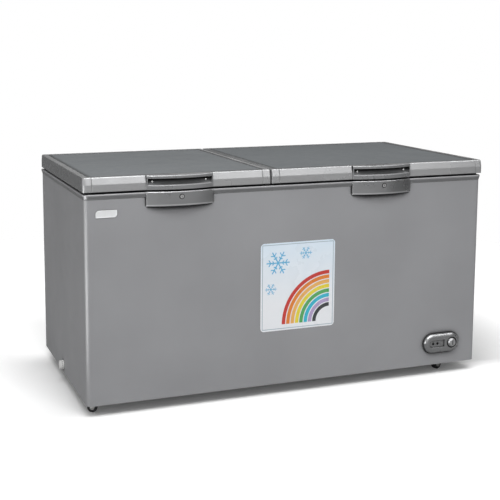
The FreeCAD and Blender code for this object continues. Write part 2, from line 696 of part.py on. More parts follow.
def liquid_line_points():
    """Route from the end of the condenser to the drier."""
    y = -HALF_DEPTH + SHEET + CONDENSER_TUBE_RADIUS + COIL_WALL_GAP
    z = BASE_Z + CONDENSER_RETURN_RISE
    x = BAY_X + COIL_STUB + LIQUID_LINE_REACH
    return [Vector(BAY_X + COIL_STUB, y, z), Vector(x, y, z), Vector(x, y + LIQUID_LINE_REACH, z)]


def make_drier():
    """Copper drier with drawn-in ends, between the condenser and the capillary."""
    start = liquid_line_points()[-1]
    radii = [CONDENSER_TUBE_RADIUS, DRIER_RADIUS, DRIER_RADIUS, CONDENSER_TUBE_RADIUS]
    stations = [0, DRIER_NECK, DRIER_LENGTH - DRIER_NECK, DRIER_LENGTH]
    outline = [Vector(start.x, start.y, start.z)]
    outline += [Vector(start.x + r, start.y + s, start.z) for r, s in zip(radii, stations)]
    outline.append(Vector(start.x, start.y + DRIER_LENGTH, start.z))
    profile = Part.Face(Part.makePolygon(outline + outline[:1]))
    return profile.revolve(start, Vector(0, 1, 0), 360)


def make_pipes():
    """Discharge pipe, suction pipe, liquid line and capillary inside the bay."""
    can = compressor_can()
    condenser_y = -HALF_DEPTH + SHEET + CONDENSER_TUBE_RADIUS + COIL_WALL_GAP
    evaporator_y = -LINER_Y - LINER_SHEET - EVAPORATOR_TUBE_RADIUS - COIL_WALL_GAP
    stub_x = BAY_X + COIL_STUB
    discharge_z = BASE_Z + CONDENSER_FIRST_RISE
    discharge_x = COMPRESSOR_X + DISCHARGE_OFFSET
    discharge = bent_tube(
        [Vector(stub_x, condenser_y, discharge_z), Vector(discharge_x, condenser_y, discharge_z),
         Vector(discharge_x, COMPRESSOR_Y, discharge_z)],
        PIPE_BEND, CONDENSER_TUBE_RADIUS)
    suction_z = BASE_Z + EVAPORATOR_RETURN_RISE
    suction_x = COMPRESSOR_X + SUCTION_OFFSET
    suction = bent_tube(
        [Vector(stub_x, evaporator_y, suction_z), Vector(suction_x, evaporator_y, suction_z),
         Vector(suction_x, COMPRESSOR_Y, suction_z)],
        PIPE_BEND, EVAPORATOR_TUBE_RADIUS)
    liquid = bent_tube(liquid_line_points(), LIQUID_LINE_BEND, CONDENSER_TUBE_RADIUS)
    drier_end = liquid_line_points()[-1] + Vector(0, DRIER_LENGTH, 0)
    capillary_z = BASE_Z + EVAPORATOR_FIRST_RISE
    far_y = drier_end.y + CAPILLARY_REACH
    capillary = bent_tube(
        [drier_end, Vector(drier_end.x, far_y, drier_end.z), Vector(drier_end.x, far_y, capillary_z),
         Vector(drier_end.x, evaporator_y, capillary_z), Vector(stub_x, evaporator_y, capillary_z)],
        CAPILLARY_BEND, CAPILLARY_RADIUS)
    cut_pipes = [one_solid(pipe.cut(can)) for pipe in (discharge, suction)]
    return Part.makeCompound(cut_pipes + [liquid.Solids[0], capillary.Solids[0]])


def make_grille():
    """Louvred cover of the bay's vent in the right-hand end."""
    y_low = GRILLE_BACK_OFFSET - GRILLE_WIDTH / 2
    y_high = GRILLE_BACK_OFFSET + GRILLE_WIDTH / 2
    z_low = BASE_Z + GRILLE_RISE
    z_high = z_low + GRILLE_HEIGHT
    cover = box(
        HALF_WIDTH, HALF_WIDTH + GRILLE_SHEET, y_low - GRILLE_OVERLAP, y_high + GRILLE_OVERLAP,
        z_low - GRILLE_OVERLAP, z_high + GRILLE_OVERLAP)
    collar = box(
        HALF_WIDTH - SHEET, HALF_WIDTH, y_low + TUNNEL_CLEARANCE, y_high - TUNNEL_CLEARANCE,
        z_low + TUNNEL_CLEARANCE, z_high - TUNNEL_CLEARANCE)
    bar = GRILLE_SLOT_PITCH - GRILLE_SLOT_HEIGHT
    count = int((GRILLE_HEIGHT - 2 * GRILLE_SLOT_MARGIN + bar) / GRILLE_SLOT_PITCH)
    field = (count - 1) * GRILLE_SLOT_PITCH + GRILLE_SLOT_HEIGHT
    first = (z_low + z_high - field) / 2
    slots = []
    for row in range(count):
        z = first + row * GRILLE_SLOT_PITCH
        slots.append(box(
            HALF_WIDTH - SHEET - PAST, HALF_WIDTH + GRILLE_SHEET + PAST,
            y_low + GRILLE_SLOT_MARGIN, y_high - GRILLE_SLOT_MARGIN, z, z + GRILLE_SLOT_HEIGHT))
    return one_solid(cover.fuse(collar).cut(slots))


def gland_point():
    """Centre of the cord gland on the outside of the back."""
    return Vector(COMPRESSOR_X + GLAND_OFFSET, HALF_DEPTH, BASE_Z + GLAND_RISE)


def make_gland():
    """Flanged bush that a mains cord would pass through."""
    centre = gland_point()
    flange = rod(centre, Vector(0, 1, 0), GLAND_FLANGE_RADIUS, GLAND_FLANGE)
    neck = rod(centre, Vector(0, -1, 0), GLAND_NECK_RADIUS, GLAND_NECK)
    bore = rod(centre - Vector(0, GLAND_NECK + PAST, 0), Vector(0, 1, 0), GLAND_BORE_RADIUS,
               GLAND_NECK + GLAND_FLANGE + 2 * PAST)
    return one_solid(flange.fuse(neck).cut(bore))


def lens_centres():
    """X of the two indicator lamps."""
    middle = BEZEL_X + LENS_OFFSET
    return [middle - LENS_SPACING / 2, middle + LENS_SPACING / 2]


def stadium(centre_x, centre_z, width, height, y_front, y_back):
    """Bar with half-round ends that stands off the front."""
    radius = height / 2
    straight = width / 2 - radius
    depth = y_back - y_front
    middle = box(
        centre_x - straight, centre_x + straight, y_front, y_back, centre_z - radius, centre_z + radius)
    ends = [
        rod(Vector(centre_x + side * straight, y_front, centre_z), Vector(0, 1, 0), radius, depth)
        for side in (-1, 1)
    ]
    return one_solid(middle.fuse(ends))


def make_bezel():
    """Rounded control surround with a sunk window, square at one end, and a well for the knob."""
    front = -HALF_DEPTH - BEZEL_OUT
    body = stadium(BEZEL_X, BEZEL_Z, BEZEL_WIDTH, BEZEL_HEIGHT, front, -HALF_DEPTH)
    body = body.makeFillet(BEZEL_EDGE_ROUND, edges_at_front(body, front))
    window_x = BEZEL_X + WINDOW_OFFSET
    window = stadium(window_x, BEZEL_Z, WINDOW_WIDTH, WINDOW_HEIGHT, front - PAST, front + WINDOW_DEPTH)
    square_end = box(
        window_x, window_x + WINDOW_WIDTH / 2, front - PAST, front + WINDOW_DEPTH,
        BEZEL_Z - WINDOW_HEIGHT / 2, BEZEL_Z + WINDOW_HEIGHT / 2)
    knob_x = BEZEL_X + KNOB_OFFSET
    well = rod(Vector(knob_x, front - PAST, BEZEL_Z), Vector(0, 1, 0), KNOB_RADIUS + KNOB_WELL_GAP,
               KNOB_WELL_DEPTH + PAST)
    shaft_hole = rod(Vector(knob_x, front, BEZEL_Z), Vector(0, 1, 0), PANEL_HOLE_RADIUS, BEZEL_OUT)
    lens_holes = [
        rod(Vector(x, front, BEZEL_Z), Vector(0, 1, 0), LENS_RADIUS + TUNNEL_CLEARANCE, BEZEL_OUT)
        for x in lens_centres()
    ]
    return one_solid(body.cut([window, square_end, well, shaft_hole] + lens_holes))


def make_lenses():
    """Round lamp lenses that reach back through the shell."""
    front = -HALF_DEPTH - BEZEL_OUT + WINDOW_DEPTH - LENS_PROUD
    length = BEZEL_OUT - WINDOW_DEPTH + LENS_PROUD + SHEET
    return Part.makeCompound([
        rod(Vector(x, front, BEZEL_Z), Vector(0, 1, 0), LENS_RADIUS, length) for x in lens_centres()
    ])


def make_thermostat():
    """Thermostat behind the front skin, with its shaft through the bezel."""
    knob_x = BEZEL_X + KNOB_OFFSET
    body = box(
        knob_x - THERMOSTAT_WIDTH / 2, knob_x + THERMOSTAT_WIDTH / 2,
        -HALF_DEPTH + SHEET, -HALF_DEPTH + SHEET + THERMOSTAT_DEPTH,
        BEZEL_Z - THERMOSTAT_HEIGHT / 2, BEZEL_Z + THERMOSTAT_HEIGHT / 2)
    well_floor = -HALF_DEPTH - BEZEL_OUT + KNOB_WELL_DEPTH
    tip = well_floor - KNOB_FLOOR_GAP - SHAFT_ENGAGEMENT
    shaft = rod(Vector(knob_x, tip, BEZEL_Z), Vector(0, 1, 0), SHAFT_RADIUS, -HALF_DEPTH + SHEET - tip)
    return one_solid(body.fuse(shaft))


def make_knob():
    """Thermostat knob on the thermostat's shaft: a grooved skirt, a tapered grip and a coin slot."""
    knob_x = BEZEL_X + KNOB_OFFSET
    back = -HALF_DEPTH - BEZEL_OUT + KNOB_WELL_DEPTH - KNOB_FLOOR_GAP
    front = back - KNOB_HEIGHT
    skirt = rod(Vector(knob_x, back, BEZEL_Z), Vector(0, -1, 0), KNOB_RADIUS, KNOB_SKIRT)
    grip = Part.makeCone(
        KNOB_FACE_RADIUS, KNOB_RADIUS, KNOB_HEIGHT - KNOB_SKIRT,
        Vector(knob_x, front, BEZEL_Z), Vector(0, 1, 0))
    grip = grip.makeFillet(KNOB_EDGE_ROUND, edges_at_front(grip, front))
    bore = rod(
        Vector(knob_x, back - SHAFT_ENGAGEMENT - SHAFT_FIT, BEZEL_Z), Vector(0, 1, 0),
        SHAFT_RADIUS + SHAFT_FIT, SHAFT_ENGAGEMENT + SHAFT_FIT)
    slot = box(
        knob_x - KNOB_SLOT_WIDTH / 2, knob_x + KNOB_SLOT_WIDTH / 2, front, front + KNOB_SLOT_DEPTH,
        BEZEL_Z - KNOB_SLOT_LENGTH / 2, BEZEL_Z + KNOB_SLOT_LENGTH / 2)
    grooves = []
    for index in range(KNOB_GROOVES):
        angle = 2 * math.pi * index / KNOB_GROOVES
        point = Vector(
            knob_x + KNOB_RADIUS * math.cos(angle), front, BEZEL_Z + KNOB_RADIUS * math.sin(angle))
        grooves.append(rod(point, Vector(0, 1, 0), KNOB_GROOVE_RADIUS, KNOB_HEIGHT))
    return one_solid(skirt.fuse(grip).cut([bore, slot] + grooves))


def make_drain_spout():
    """Elbow tube from the liner floor to a flange on the left-hand end."""
    tube = drain_path(DRAIN_OUTER_RADIUS)
    flange = rod(
        Vector(-HALF_WIDTH - DRAIN_FLANGE, DRAIN_Y, DRAIN_Z), Vector(1, 0, 0),
        DRAIN_FLANGE_RADIUS, DRAIN_FLANGE)
    mouth = rod(
        Vector(-HALF_WIDTH - DRAIN_FLANGE - PAST, DRAIN_Y, DRAIN_Z), Vector(1, 0, 0),
        DRAIN_BORE_RADIUS, DRAIN_FLANGE + 2 * PAST)
    intake = rod(
        Vector(-LINER_X + DRAIN_INTAKE_FROM_LINER, DRAIN_Y, LINER_FLOOR_Z - PAST), Vector(0, 0, 1),
        DRAIN_BORE_RADIUS, 2 * PAST)
    return one_solid(tube.fuse(flange).cut(drain_path(DRAIN_BORE_RADIUS).fuse([mouth, intake])))


def make_drain_cap():
    """Ribbed stopper in the drain's outlet."""
    seat_x = -HALF_WIDTH - DRAIN_FLANGE
    grip = rod(Vector(seat_x, DRAIN_Y, DRAIN_Z), Vector(-1, 0, 0), DRAIN_CAP_RADIUS, DRAIN_CAP_LENGTH)
    plug = rod(
        Vector(seat_x, DRAIN_Y, DRAIN_Z), Vector(1, 0, 0),
        DRAIN_BORE_RADIUS - DRAIN_PLUG_FIT, DRAIN_PLUG_LENGTH)
    ribs = []
    for index in range(DRAIN_CAP_RIBS):
        angle = 2 * math.pi * index / DRAIN_CAP_RIBS
        point = Vector(
            seat_x, DRAIN_Y + DRAIN_CAP_RADIUS * math.cos(angle),
            DRAIN_Z + DRAIN_CAP_RADIUS * math.sin(angle))
        ribs.append(rod(point, Vector(-1, 0, 0), DRAIN_CAP_RIB_RADIUS, DRAIN_CAP_LENGTH))
    return one_solid(grip.fuse([plug] + ribs))


def lid_outline(side, z, end_inset, front_inset):
    """Level outline of a lid, drawn in from its ends and front, with corners that tighten as it goes in."""
    x_low, x_high = LIDS[side]
    share_left = 1 - front_inset / RAIL_TOP_WIDTH
    outer = LID_CORNER_RADIUS * share_left
    seam = LID_SEAM_CORNER_RADIUS * share_left
    radii = (outer, seam, seam, outer) if side == "left" else (seam, outer, outer, seam)
    return rounded_outline(
        x_low + end_inset, x_high - end_inset, -RIM_Y + front_inset, RIM_Y - front_inset, z, radii)


def lid_form(side):
    """Outer form of a lid: upright sides, a bevel above them and a low crown at the top edge."""
    crown_z = LID_TOP_Z - RAIL_CROWN_HEIGHT
    bevel_z = crown_z - RAIL_BEVEL_HEIGHT
    foot = lid_outline(side, LID_BOTTOM_Z, 0, 0)
    waist = lid_outline(side, bevel_z, 0, 0)
    shoulder = lid_outline(side, crown_z, RAIL_END_BEVEL_INSET, RAIL_BEVEL_INSET)
    brow = lid_outline(
        side, LID_TOP_Z, RAIL_END_BEVEL_INSET + RAIL_CROWN_INSET, RAIL_BEVEL_INSET + RAIL_CROWN_INSET)
    lower = Part.Face(foot).extrude(Vector(0, 0, bevel_z - LID_BOTTOM_Z))
    bevel = Part.makeLoft([waist, shoulder], True, True)
    crown = Part.makeLoft([shoulder, brow], True, True)
    return lower.fuse([bevel, crown])


def lid_ring(side):
    """Closed frame of a lid with the ledge that carries the top panel."""
    x_low, x_high = LIDS[side]
    below = box(
        x_low + RAIL_BASE_WIDTH, x_high - RAIL_BASE_WIDTH, -RIM_Y + RAIL_BASE_WIDTH, RIM_Y - RAIL_BASE_WIDTH,
        LID_BOTTOM_Z, LEDGE_Z)
    above = box(
        x_low + RAIL_TOP_WIDTH, x_high - RAIL_TOP_WIDTH, -RIM_Y + RAIL_TOP_WIDTH, RIM_Y - RAIL_TOP_WIDTH,
        LEDGE_Z, LID_TOP_Z)
    return lid_form(side).cut([below, above])


def corner_boxes(x_low, x_high, length):
    """Blocks over the four corners of a lid."""
    boxes = []
    for x_start in (x_low, x_high - length):
        for y_start in (-RIM_Y, RIM_Y - length):
            boxes.append(box(x_start, x_start + length, y_start, y_start + length, LID_BOTTOM_Z, LID_TOP_Z))
    return boxes


def lid_middle(side):
    """X of the middle of a lid."""
    return sum(LIDS[side]) / 2


def make_rails(side):
    """Straight rails of a lid's frame, parted by the corner pieces and, in front, by the handle."""
    x_low, x_high = LIDS[side]
    middle = lid_middle(side)
    gap = box(
        middle - HANDLE_WIDTH / 2 - CORNER_SEAM, middle + HANDLE_WIDTH / 2 + CORNER_SEAM,
        -RIM_Y, -RIM_Y + RAIL_BASE_WIDTH, LID_BOTTOM_Z, LID_TOP_Z)
    corners = corner_boxes(x_low, x_high, CORNER_PIECE_LENGTH + CORNER_SEAM)
    pieces = lid_ring(side).cut(corners + [gap])
    return Part.makeCompound([one_solid(piece) for piece in pieces.Solids])


def make_corners(side):
    """Moulded corner pieces of a lid's frame."""
    x_low, x_high = LIDS[side]
    ring = lid_ring(side)
    return Part.makeCompound([
        one_solid(ring.common(corner)) for corner in corner_boxes(x_low, x_high, CORNER_PIECE_LENGTH)
    ])


def make_top_panel(side):
    """Painted sheet with a turned-down hem that stands on the frame's ledge."""
    x_low, x_high = LIDS[side]
    inset = RAIL_TOP_WIDTH + PANEL_GROOVE
    face_z = LID_TOP_Z - PANEL_DROP
    sheet = box(x_low + inset, x_high - inset, -RIM_Y + inset, RIM_Y - inset, LEDGE_Z, face_z)
    inside = box(
        x_low + inset + SHEET, x_high - inset - SHEET, -RIM_Y + inset + SHEET, RIM_Y - inset - SHEET,
        LEDGE_Z, face_z - SHEET)
    return one_solid(sheet.cut(inside))


def plug_span(side):
    """Low and high X of the lid's inner plug, clear of the mouth and the beam."""
    if side == "left":
        return -MOUTH_X + PLUG_CLEARANCE, SEAM_X - BEAM_WIDTH / 2 - PLUG_CLEARANCE
    return SEAM_X + BEAM_WIDTH / 2 + PLUG_CLEARANCE, MOUTH_X - PLUG_CLEARANCE


def plug_block(side, shrink, z_high):
    """Plug below a lid, with its walls drawn in."""
    x_low, x_high = plug_span(side)
    y_reach = MOUTH_Y - PLUG_CLEARANCE
    return rounded_block(
        x_low + shrink, x_high - shrink, -y_reach + shrink, y_reach - shrink,
        LID_BOTTOM_Z - PLUG_DEPTH + shrink, z_high, all_corners(PLUG_CORNER_RADIUS - shrink))


def lid_sheet_block(side, z_low, z_high):
    """Space inside a lid's frame below the ledge."""
    x_low, x_high = LIDS[side]
    return box(
        x_low + RAIL_BASE_WIDTH, x_high - RAIL_BASE_WIDTH, -RIM_Y + RAIL_BASE_WIDTH, RIM_Y - RAIL_BASE_WIDTH,
        z_low, z_high)


def make_inner_panel(side):
    """Formed plastic underside of a lid, with its plug."""
    sheet_top = LID_BOTTOM_Z + INNER_PANEL_SHEET
    sheet = lid_sheet_block(side, LID_BOTTOM_Z, sheet_top)
    plug = plug_block(side, 0, sheet_top)
    hollow = plug_block(side, INNER_PANEL_SHEET, sheet_top)
    return one_solid(sheet.fuse(plug).cut(hollow))


def make_lid_foam(side):
    """Foam that fills a lid between its top panel and its inner panel."""
    x_low, x_high = LIDS[side]
    sheet_top = LID_BOTTOM_Z + INNER_PANEL_SHEET
    core = lid_sheet_block(side, sheet_top, LEDGE_Z)
    inset = RAIL_TOP_WIDTH + PANEL_GROOVE + SHEET
    crown = box(
        x_low + inset, x_high - inset, -RIM_Y + inset, RIM_Y - inset, LEDGE_Z, LID_TOP_Z - PANEL_DROP - SHEET)
    plug = plug_block(side, INNER_PANEL_SHEET, sheet_top)
    return one_solid(core.fuse([crown, plug]))


def make_gasket(side):
    """Magnetic seal round the underside of a lid."""
    x_low, x_high = LIDS[side]
    z_low = COLLAR_TOP_Z + GASKET_CLEARANCE
    outer = rounded_block(
        x_low + GASKET_INSET, x_high - GASKET_INSET, -RIM_Y + GASKET_INSET, RIM_Y - GASKET_INSET,
        z_low, LID_BOTTOM_Z, all_corners(GASKET_CORNER_RADIUS + GASKET_WIDTH))
    inset = GASKET_INSET + GASKET_WIDTH
    inner = rounded_block(
        x_low + inset, x_high - inset, -RIM_Y + inset, RIM_Y - inset,
        z_low, LID_BOTTOM_Z, all_corners(GASKET_CORNER_RADIUS))
    return one_solid(outer.cut(inner))


def bowed_block(middle, back_y, z_low, z_high):
    """Block with upright ends and a front bowed out in plan."""
    half = HANDLE_WIDTH / 2
    end_y = -RIM_Y - HANDLE_END_OUT
    left_front = Vector(middle - half, end_y, z_low)
    right_front = Vector(middle + half, end_y, z_low)
    crest = Vector(middle, -RIM_Y - HANDLE_MID_OUT, z_low)
    left_back = Vector(middle - half, back_y, z_low)
    right_back = Vector(middle + half, back_y, z_low)
    outline = Part.Wire([
        Part.makeLine(left_back, left_front),
        Part.Arc(left_front, crest, right_front).toShape(),
        Part.makeLine(right_front, right_back),
        Part.makeLine(right_back, left_back),
    ])
    return Part.Face(outline).extrude(Vector(0, 0, z_high - z_low))


def bowed_edge(shape, z):
    """The level front edge of a bowed block at a height."""
    end_y = -RIM_Y - HANDLE_END_OUT
    return [edge for edge in edges_at_level(shape, z) if edge.BoundBox.YMax < end_y + TOUCH]


def finger_recess(middle):
    """Cutter for the finger recess: level above, upright behind, its floor scooped up at the back."""
    x = middle - RECESS_REACH
    front_y = -RIM_Y - HANDLE_MID_OUT - PAST
    back_y = -RIM_Y + RECESS_DEPTH
    scoop_y = back_y - RECESS_SCOOP_RADIUS
    scoop_z = RECESS_LOW_Z + RECESS_SCOOP_RADIUS
    diagonal = RECESS_SCOOP_RADIUS * math.sqrt(0.5)
    floor_front = Vector(x, front_y, RECESS_LOW_Z)
    floor_back = Vector(x, scoop_y, RECESS_LOW_Z)
    scoop_middle = Vector(x, scoop_y + diagonal, scoop_z - diagonal)
    wall_foot = Vector(x, back_y, scoop_z)
    wall_head = Vector(x, back_y, RECESS_HIGH_Z)
    roof_front = Vector(x, front_y, RECESS_HIGH_Z)
    outline = Part.Wire([
        Part.makeLine(floor_front, floor_back),
        Part.Arc(floor_back, scoop_middle, wall_foot).toShape(),
        Part.makeLine(wall_foot, wall_head),
        Part.makeLine(wall_head, roof_front),
        Part.makeLine(roof_front, floor_front),
    ])
    return Part.Face(outline).extrude(Vector(2 * RECESS_REACH, 0, 0))


def make_handle(side):
    """Bowed lid handle with a finger recess below its visor and a slot for the lock's cam."""
    middle = lid_middle(side)
    block = bowed_block(middle, -RIM_Y + RAIL_BASE_WIDTH, LID_BOTTOM_Z, LID_TOP_Z)
    block = block.makeFillet(HANDLE_EDGE_ROUND, bowed_edge(block, LID_TOP_Z))
    groove = box(
        middle - HANDLE_WIDTH / 2, middle + HANDLE_WIDTH / 2,
        -RIM_Y + RAIL_TOP_WIDTH, -RIM_Y + RAIL_BASE_WIDTH, LEDGE_Z, LID_TOP_Z)
    block = one_solid(block.cut([groove, finger_recess(middle)]))
    mouth_edges = bowed_edge(block, RECESS_LOW_Z) + bowed_edge(block, RECESS_HIGH_Z)
    block = block.makeFillet(RECESS_EDGE_ROUND, mouth_edges)
    reach = CAM_LENGTH + CAM_CLEARANCE
    cross = math.sqrt(reach ** 2 - LOCK_DROP ** 2) + CAM_WIDTH / 2
    slot = box(
        middle - CAM_WIDTH / 2 - CAM_CLEARANCE, middle + cross,
        CAM_FRONT_Y - CAM_CLEARANCE, CAM_BACK_Y + CAM_CLEARANCE, LID_BOTTOM_Z, LOCK_Z + reach)
    return one_solid(block.cut(slot))


def make_handle_screws(side):
    """Pan-head screws in the back of the finger recess."""
    middle = lid_middle(side)
    z = (RECESS_LOW_Z + RECESS_HIGH_Z) / 2
    offset = RECESS_REACH - HANDLE_SCREW_INSET
    heads = []
    for x in (middle - offset, middle + offset):
        seat = Vector(x, -RIM_Y + RECESS_DEPTH, z)
        head = rod(seat, Vector(0, -1, 0), HANDLE_SCREW_RADIUS, HANDLE_SCREW_HEAD)
        crown = edges_at_front(head, seat.y - HANDLE_SCREW_HEAD)
        heads.append(head.makeFillet(HANDLE_SCREW_HEAD / 2, crown))
    return Part.makeCompound(heads)


def make_lock_housing(side):
    """Bowed housing over the collar's front that holds the lock below the lid handle."""
    middle = lid_middle(side)
    top = COLLAR_TOP_Z + HOUSING_RISE
    bottom = top - HOUSING_HEIGHT
    block = bowed_block(middle, -HALF_DEPTH, bottom, top)
    block = block.makeFillet(HANDLE_EDGE_ROUND, bowed_edge(block, bottom))
    block = block.makeFillet(RECESS_EDGE_ROUND, bowed_edge(block, top))
    collar = box(
        middle - HANDLE_WIDTH, middle + HANDLE_WIDTH, -RIM_Y, -HALF_DEPTH, COLLAR_BOTTOM_Z, top)
    barrel = rod(
        Vector(middle, -RIM_Y - HANDLE_MID_OUT - PAST, LOCK_Z), Vector(0, 1, 0),
        LOCK_RADIUS + LOCK_CLEARANCE, HANDLE_MID_OUT + PAST)
    sweep = math.hypot(CAM_LENGTH, CAM_WIDTH / 2) + CAM_CLEARANCE
    pocket = box(
        middle - LOCK_RADIUS - CAM_CLEARANCE, middle + sweep, CAM_FRONT_Y - CAM_CLEARANCE, -RIM_Y,
        LOCK_Z - LOCK_RADIUS - CAM_CLEARANCE, top)
    return one_solid(block.cut([collar, barrel, pocket]))


def make_lock_cylinder(side):
    """Lock barrel with its keyway and the cam on its inner end, turned to open."""
    middle = lid_middle(side)
    front = -RIM_Y - HANDLE_MID_OUT - LOCK_PROUD
    barrel = rod(Vector(middle, front, LOCK_Z), Vector(0, 1, 0), LOCK_RADIUS, CAM_BACK_Y - front)
    cam = box(
        middle, middle + CAM_LENGTH, CAM_FRONT_Y, CAM_BACK_Y, LOCK_Z - CAM_WIDTH / 2, LOCK_Z + CAM_WIDTH / 2)
    keyway = box(
        middle - KEYWAY_WIDTH / 2, middle + KEYWAY_WIDTH / 2, front, front + KEYWAY_DEPTH,
        LOCK_Z - KEYWAY_LENGTH / 2, LOCK_Z + KEYWAY_LENGTH / 2)
    return one_solid(barrel.fuse(cam).cut(keyway))


def hinge_centres(side):
    """X of the two hinges of a lid."""
    x_low, x_high = LIDS[side]
    return [x_low + HINGE_INSET, x_high - HINGE_INSET]


def make_hinge_arms(side):
    """Leaves on the back of a lid, each with a knuckle round the hinge pin."""
    half = HINGE_ARM_WIDTH / 2
    knuckle_radius = HINGE_EYE_RADIUS - HINGE_KNUCKLE_STEP
    arms = []
    for x in hinge_centres(side):
        leaf = box(
            x - half, x + half, RIM_Y, RIM_Y + HINGE_ARM_SHEET,
            LID_BOTTOM_Z + HINGE_ARM_RISE, LID_BOTTOM_Z + HINGE_ARM_RISE + HINGE_ARM_HEIGHT)
        web = box(
            x - half, x + half, RIM_Y, HINGE_Y, LID_BOTTOM_Z + HINGE_ARM_RISE, HINGE_Z + knuckle_radius)
        knuckle = rod(Vector(x - half, HINGE_Y, HINGE_Z), Vector(1, 0, 0), knuckle_radius, HINGE_ARM_WIDTH)
        bore = rod(
            Vector(x - half - PAST, HINGE_Y, HINGE_Z), Vector(1, 0, 0), HINGE_PIN_RADIUS + HINGE_FIT,
            HINGE_ARM_WIDTH + 2 * PAST)
        arms.append(one_solid(leaf.fuse([web, knuckle]).cut(bore)))
    return Part.makeCompound(arms)


def ear_start():
    """Half the distance between a hinge's two ears."""
    return HINGE_ARM_WIDTH / 2 + HINGE_EAR_CLEARANCE


def make_hinge_brackets():
    """Plates on the cabinet's back, each with two ears that carry a hinge pin."""
    foot_z = COLLAR_BOTTOM_Z - HINGE_COLLAR_CLEARANCE
    plate_z = foot_z - HINGE_PLATE_HEIGHT
    front_y = RIM_Y + HINGE_COLLAR_CLEARANCE
    rear_y = HINGE_Y + HINGE_EYE_RADIUS
    half = ear_start() + HINGE_EAR_SHEET
    brackets = []
    for side in LIDS:
        for x in hinge_centres(side):
            plate = box(x - half, x + half, HALF_DEPTH, HALF_DEPTH + HINGE_PLATE_SHEET, plate_z, foot_z)
            pieces = []
            for start in (x - half, x + ear_start()):
                ear = polygon_prism(
                    [Vector(start, HALF_DEPTH, plate_z), Vector(start, HALF_DEPTH, foot_z),
                     Vector(start, front_y, foot_z), Vector(start, front_y, HINGE_Z),
                     Vector(start, rear_y, HINGE_Z), Vector(start, rear_y, COLLAR_BOTTOM_Z)],
                    Vector(HINGE_EAR_SHEET, 0, 0))
                eye = rod(Vector(start, HINGE_Y, HINGE_Z), Vector(1, 0, 0), HINGE_EYE_RADIUS, HINGE_EAR_SHEET)
                pieces += [ear, eye]
            bore = rod(
                Vector(x - half - PAST, HINGE_Y, HINGE_Z), Vector(1, 0, 0), HINGE_PIN_RADIUS + HINGE_FIT,
                2 * half + 2 * PAST)
            brackets.append(one_solid(plate.fuse(pieces).cut(bore)))
    return Part.makeCompound(brackets)


def make_hinge_pins():
    """Headed pins through the ears and knuckles."""
    half = ear_start() + HINGE_EAR_SHEET
    pins = []
    for side in LIDS:
        for x in hinge_centres(side):
            start = Vector(x - half, HINGE_Y, HINGE_Z)
            end = Vector(x + half, HINGE_Y, HINGE_Z)
            shank = rod(start, Vector(1, 0, 0), HINGE_PIN_RADIUS, 2 * half)
            heads = [
                rod(start, Vector(-1, 0, 0), HINGE_PIN_HEAD_RADIUS, HINGE_PIN_HEAD),
                rod(end, Vector(1, 0, 0), HINGE_PIN_HEAD_RADIUS, HINGE_PIN_HEAD),
            ]
            pins.append(one_solid(shank.fuse(heads)))
    return Part.makeCompound(pins)


def caster_places():
    """Name, X and Y of the four casters."""
    return [(f"{end}_{hand}", x, y) for end, y in CASTER_Y.items() for hand, x in CASTER_X.items()]


def turned(shape, place):
    """A caster piece modelled with its trail along +X, turned to its resting direction and put in place."""
    name, x, y = place
    shape = shape.copy()
    shape.rotate(Vector(0, 0, 0), Vector(0, 0, 1), CASTER_TURNS[name])
    shape.translate(Vector(x, y, 0))
    return shape


def crown_top():
    """Height of the top of a caster fork."""
    return BASE_Z - CASTER_PLATE_SHEET - CASTER_CROWN_GAP


def make_caster_plates():
    """Plates under the base, each with the headed stem that its fork turns on."""
    low = BASE_Z - CASTER_PLATE_SHEET
    half = CASTER_PLATE_SIZE / 2
    head_top = crown_top() - CASTER_CROWN_SHEET - CASTER_STEM_FIT
    plates = []
    for name, x, y in caster_places():
        plate = rounded_block(
            x - half, x + half, y - half, y + half, low, BASE_Z, all_corners(CASTER_PLATE_ROUND))
        stem = rod(Vector(x, y, head_top), Vector(0, 0, 1), CASTER_STEM_RADIUS, low - head_top)
        head = rod(Vector(x, y, head_top), Vector(0, 0, -1), CASTER_STEM_HEAD_RADIUS, CASTER_STEM_HEAD)
        washer = rod(
            Vector(x, y, low), Vector(0, 0, -1), CASTER_STEM_HEAD_RADIUS, CASTER_CROWN_GAP - CASTER_STEM_FIT)
        plates.append(one_solid(plate.fuse([stem, head, washer])))
    return Part.makeCompound(plates)


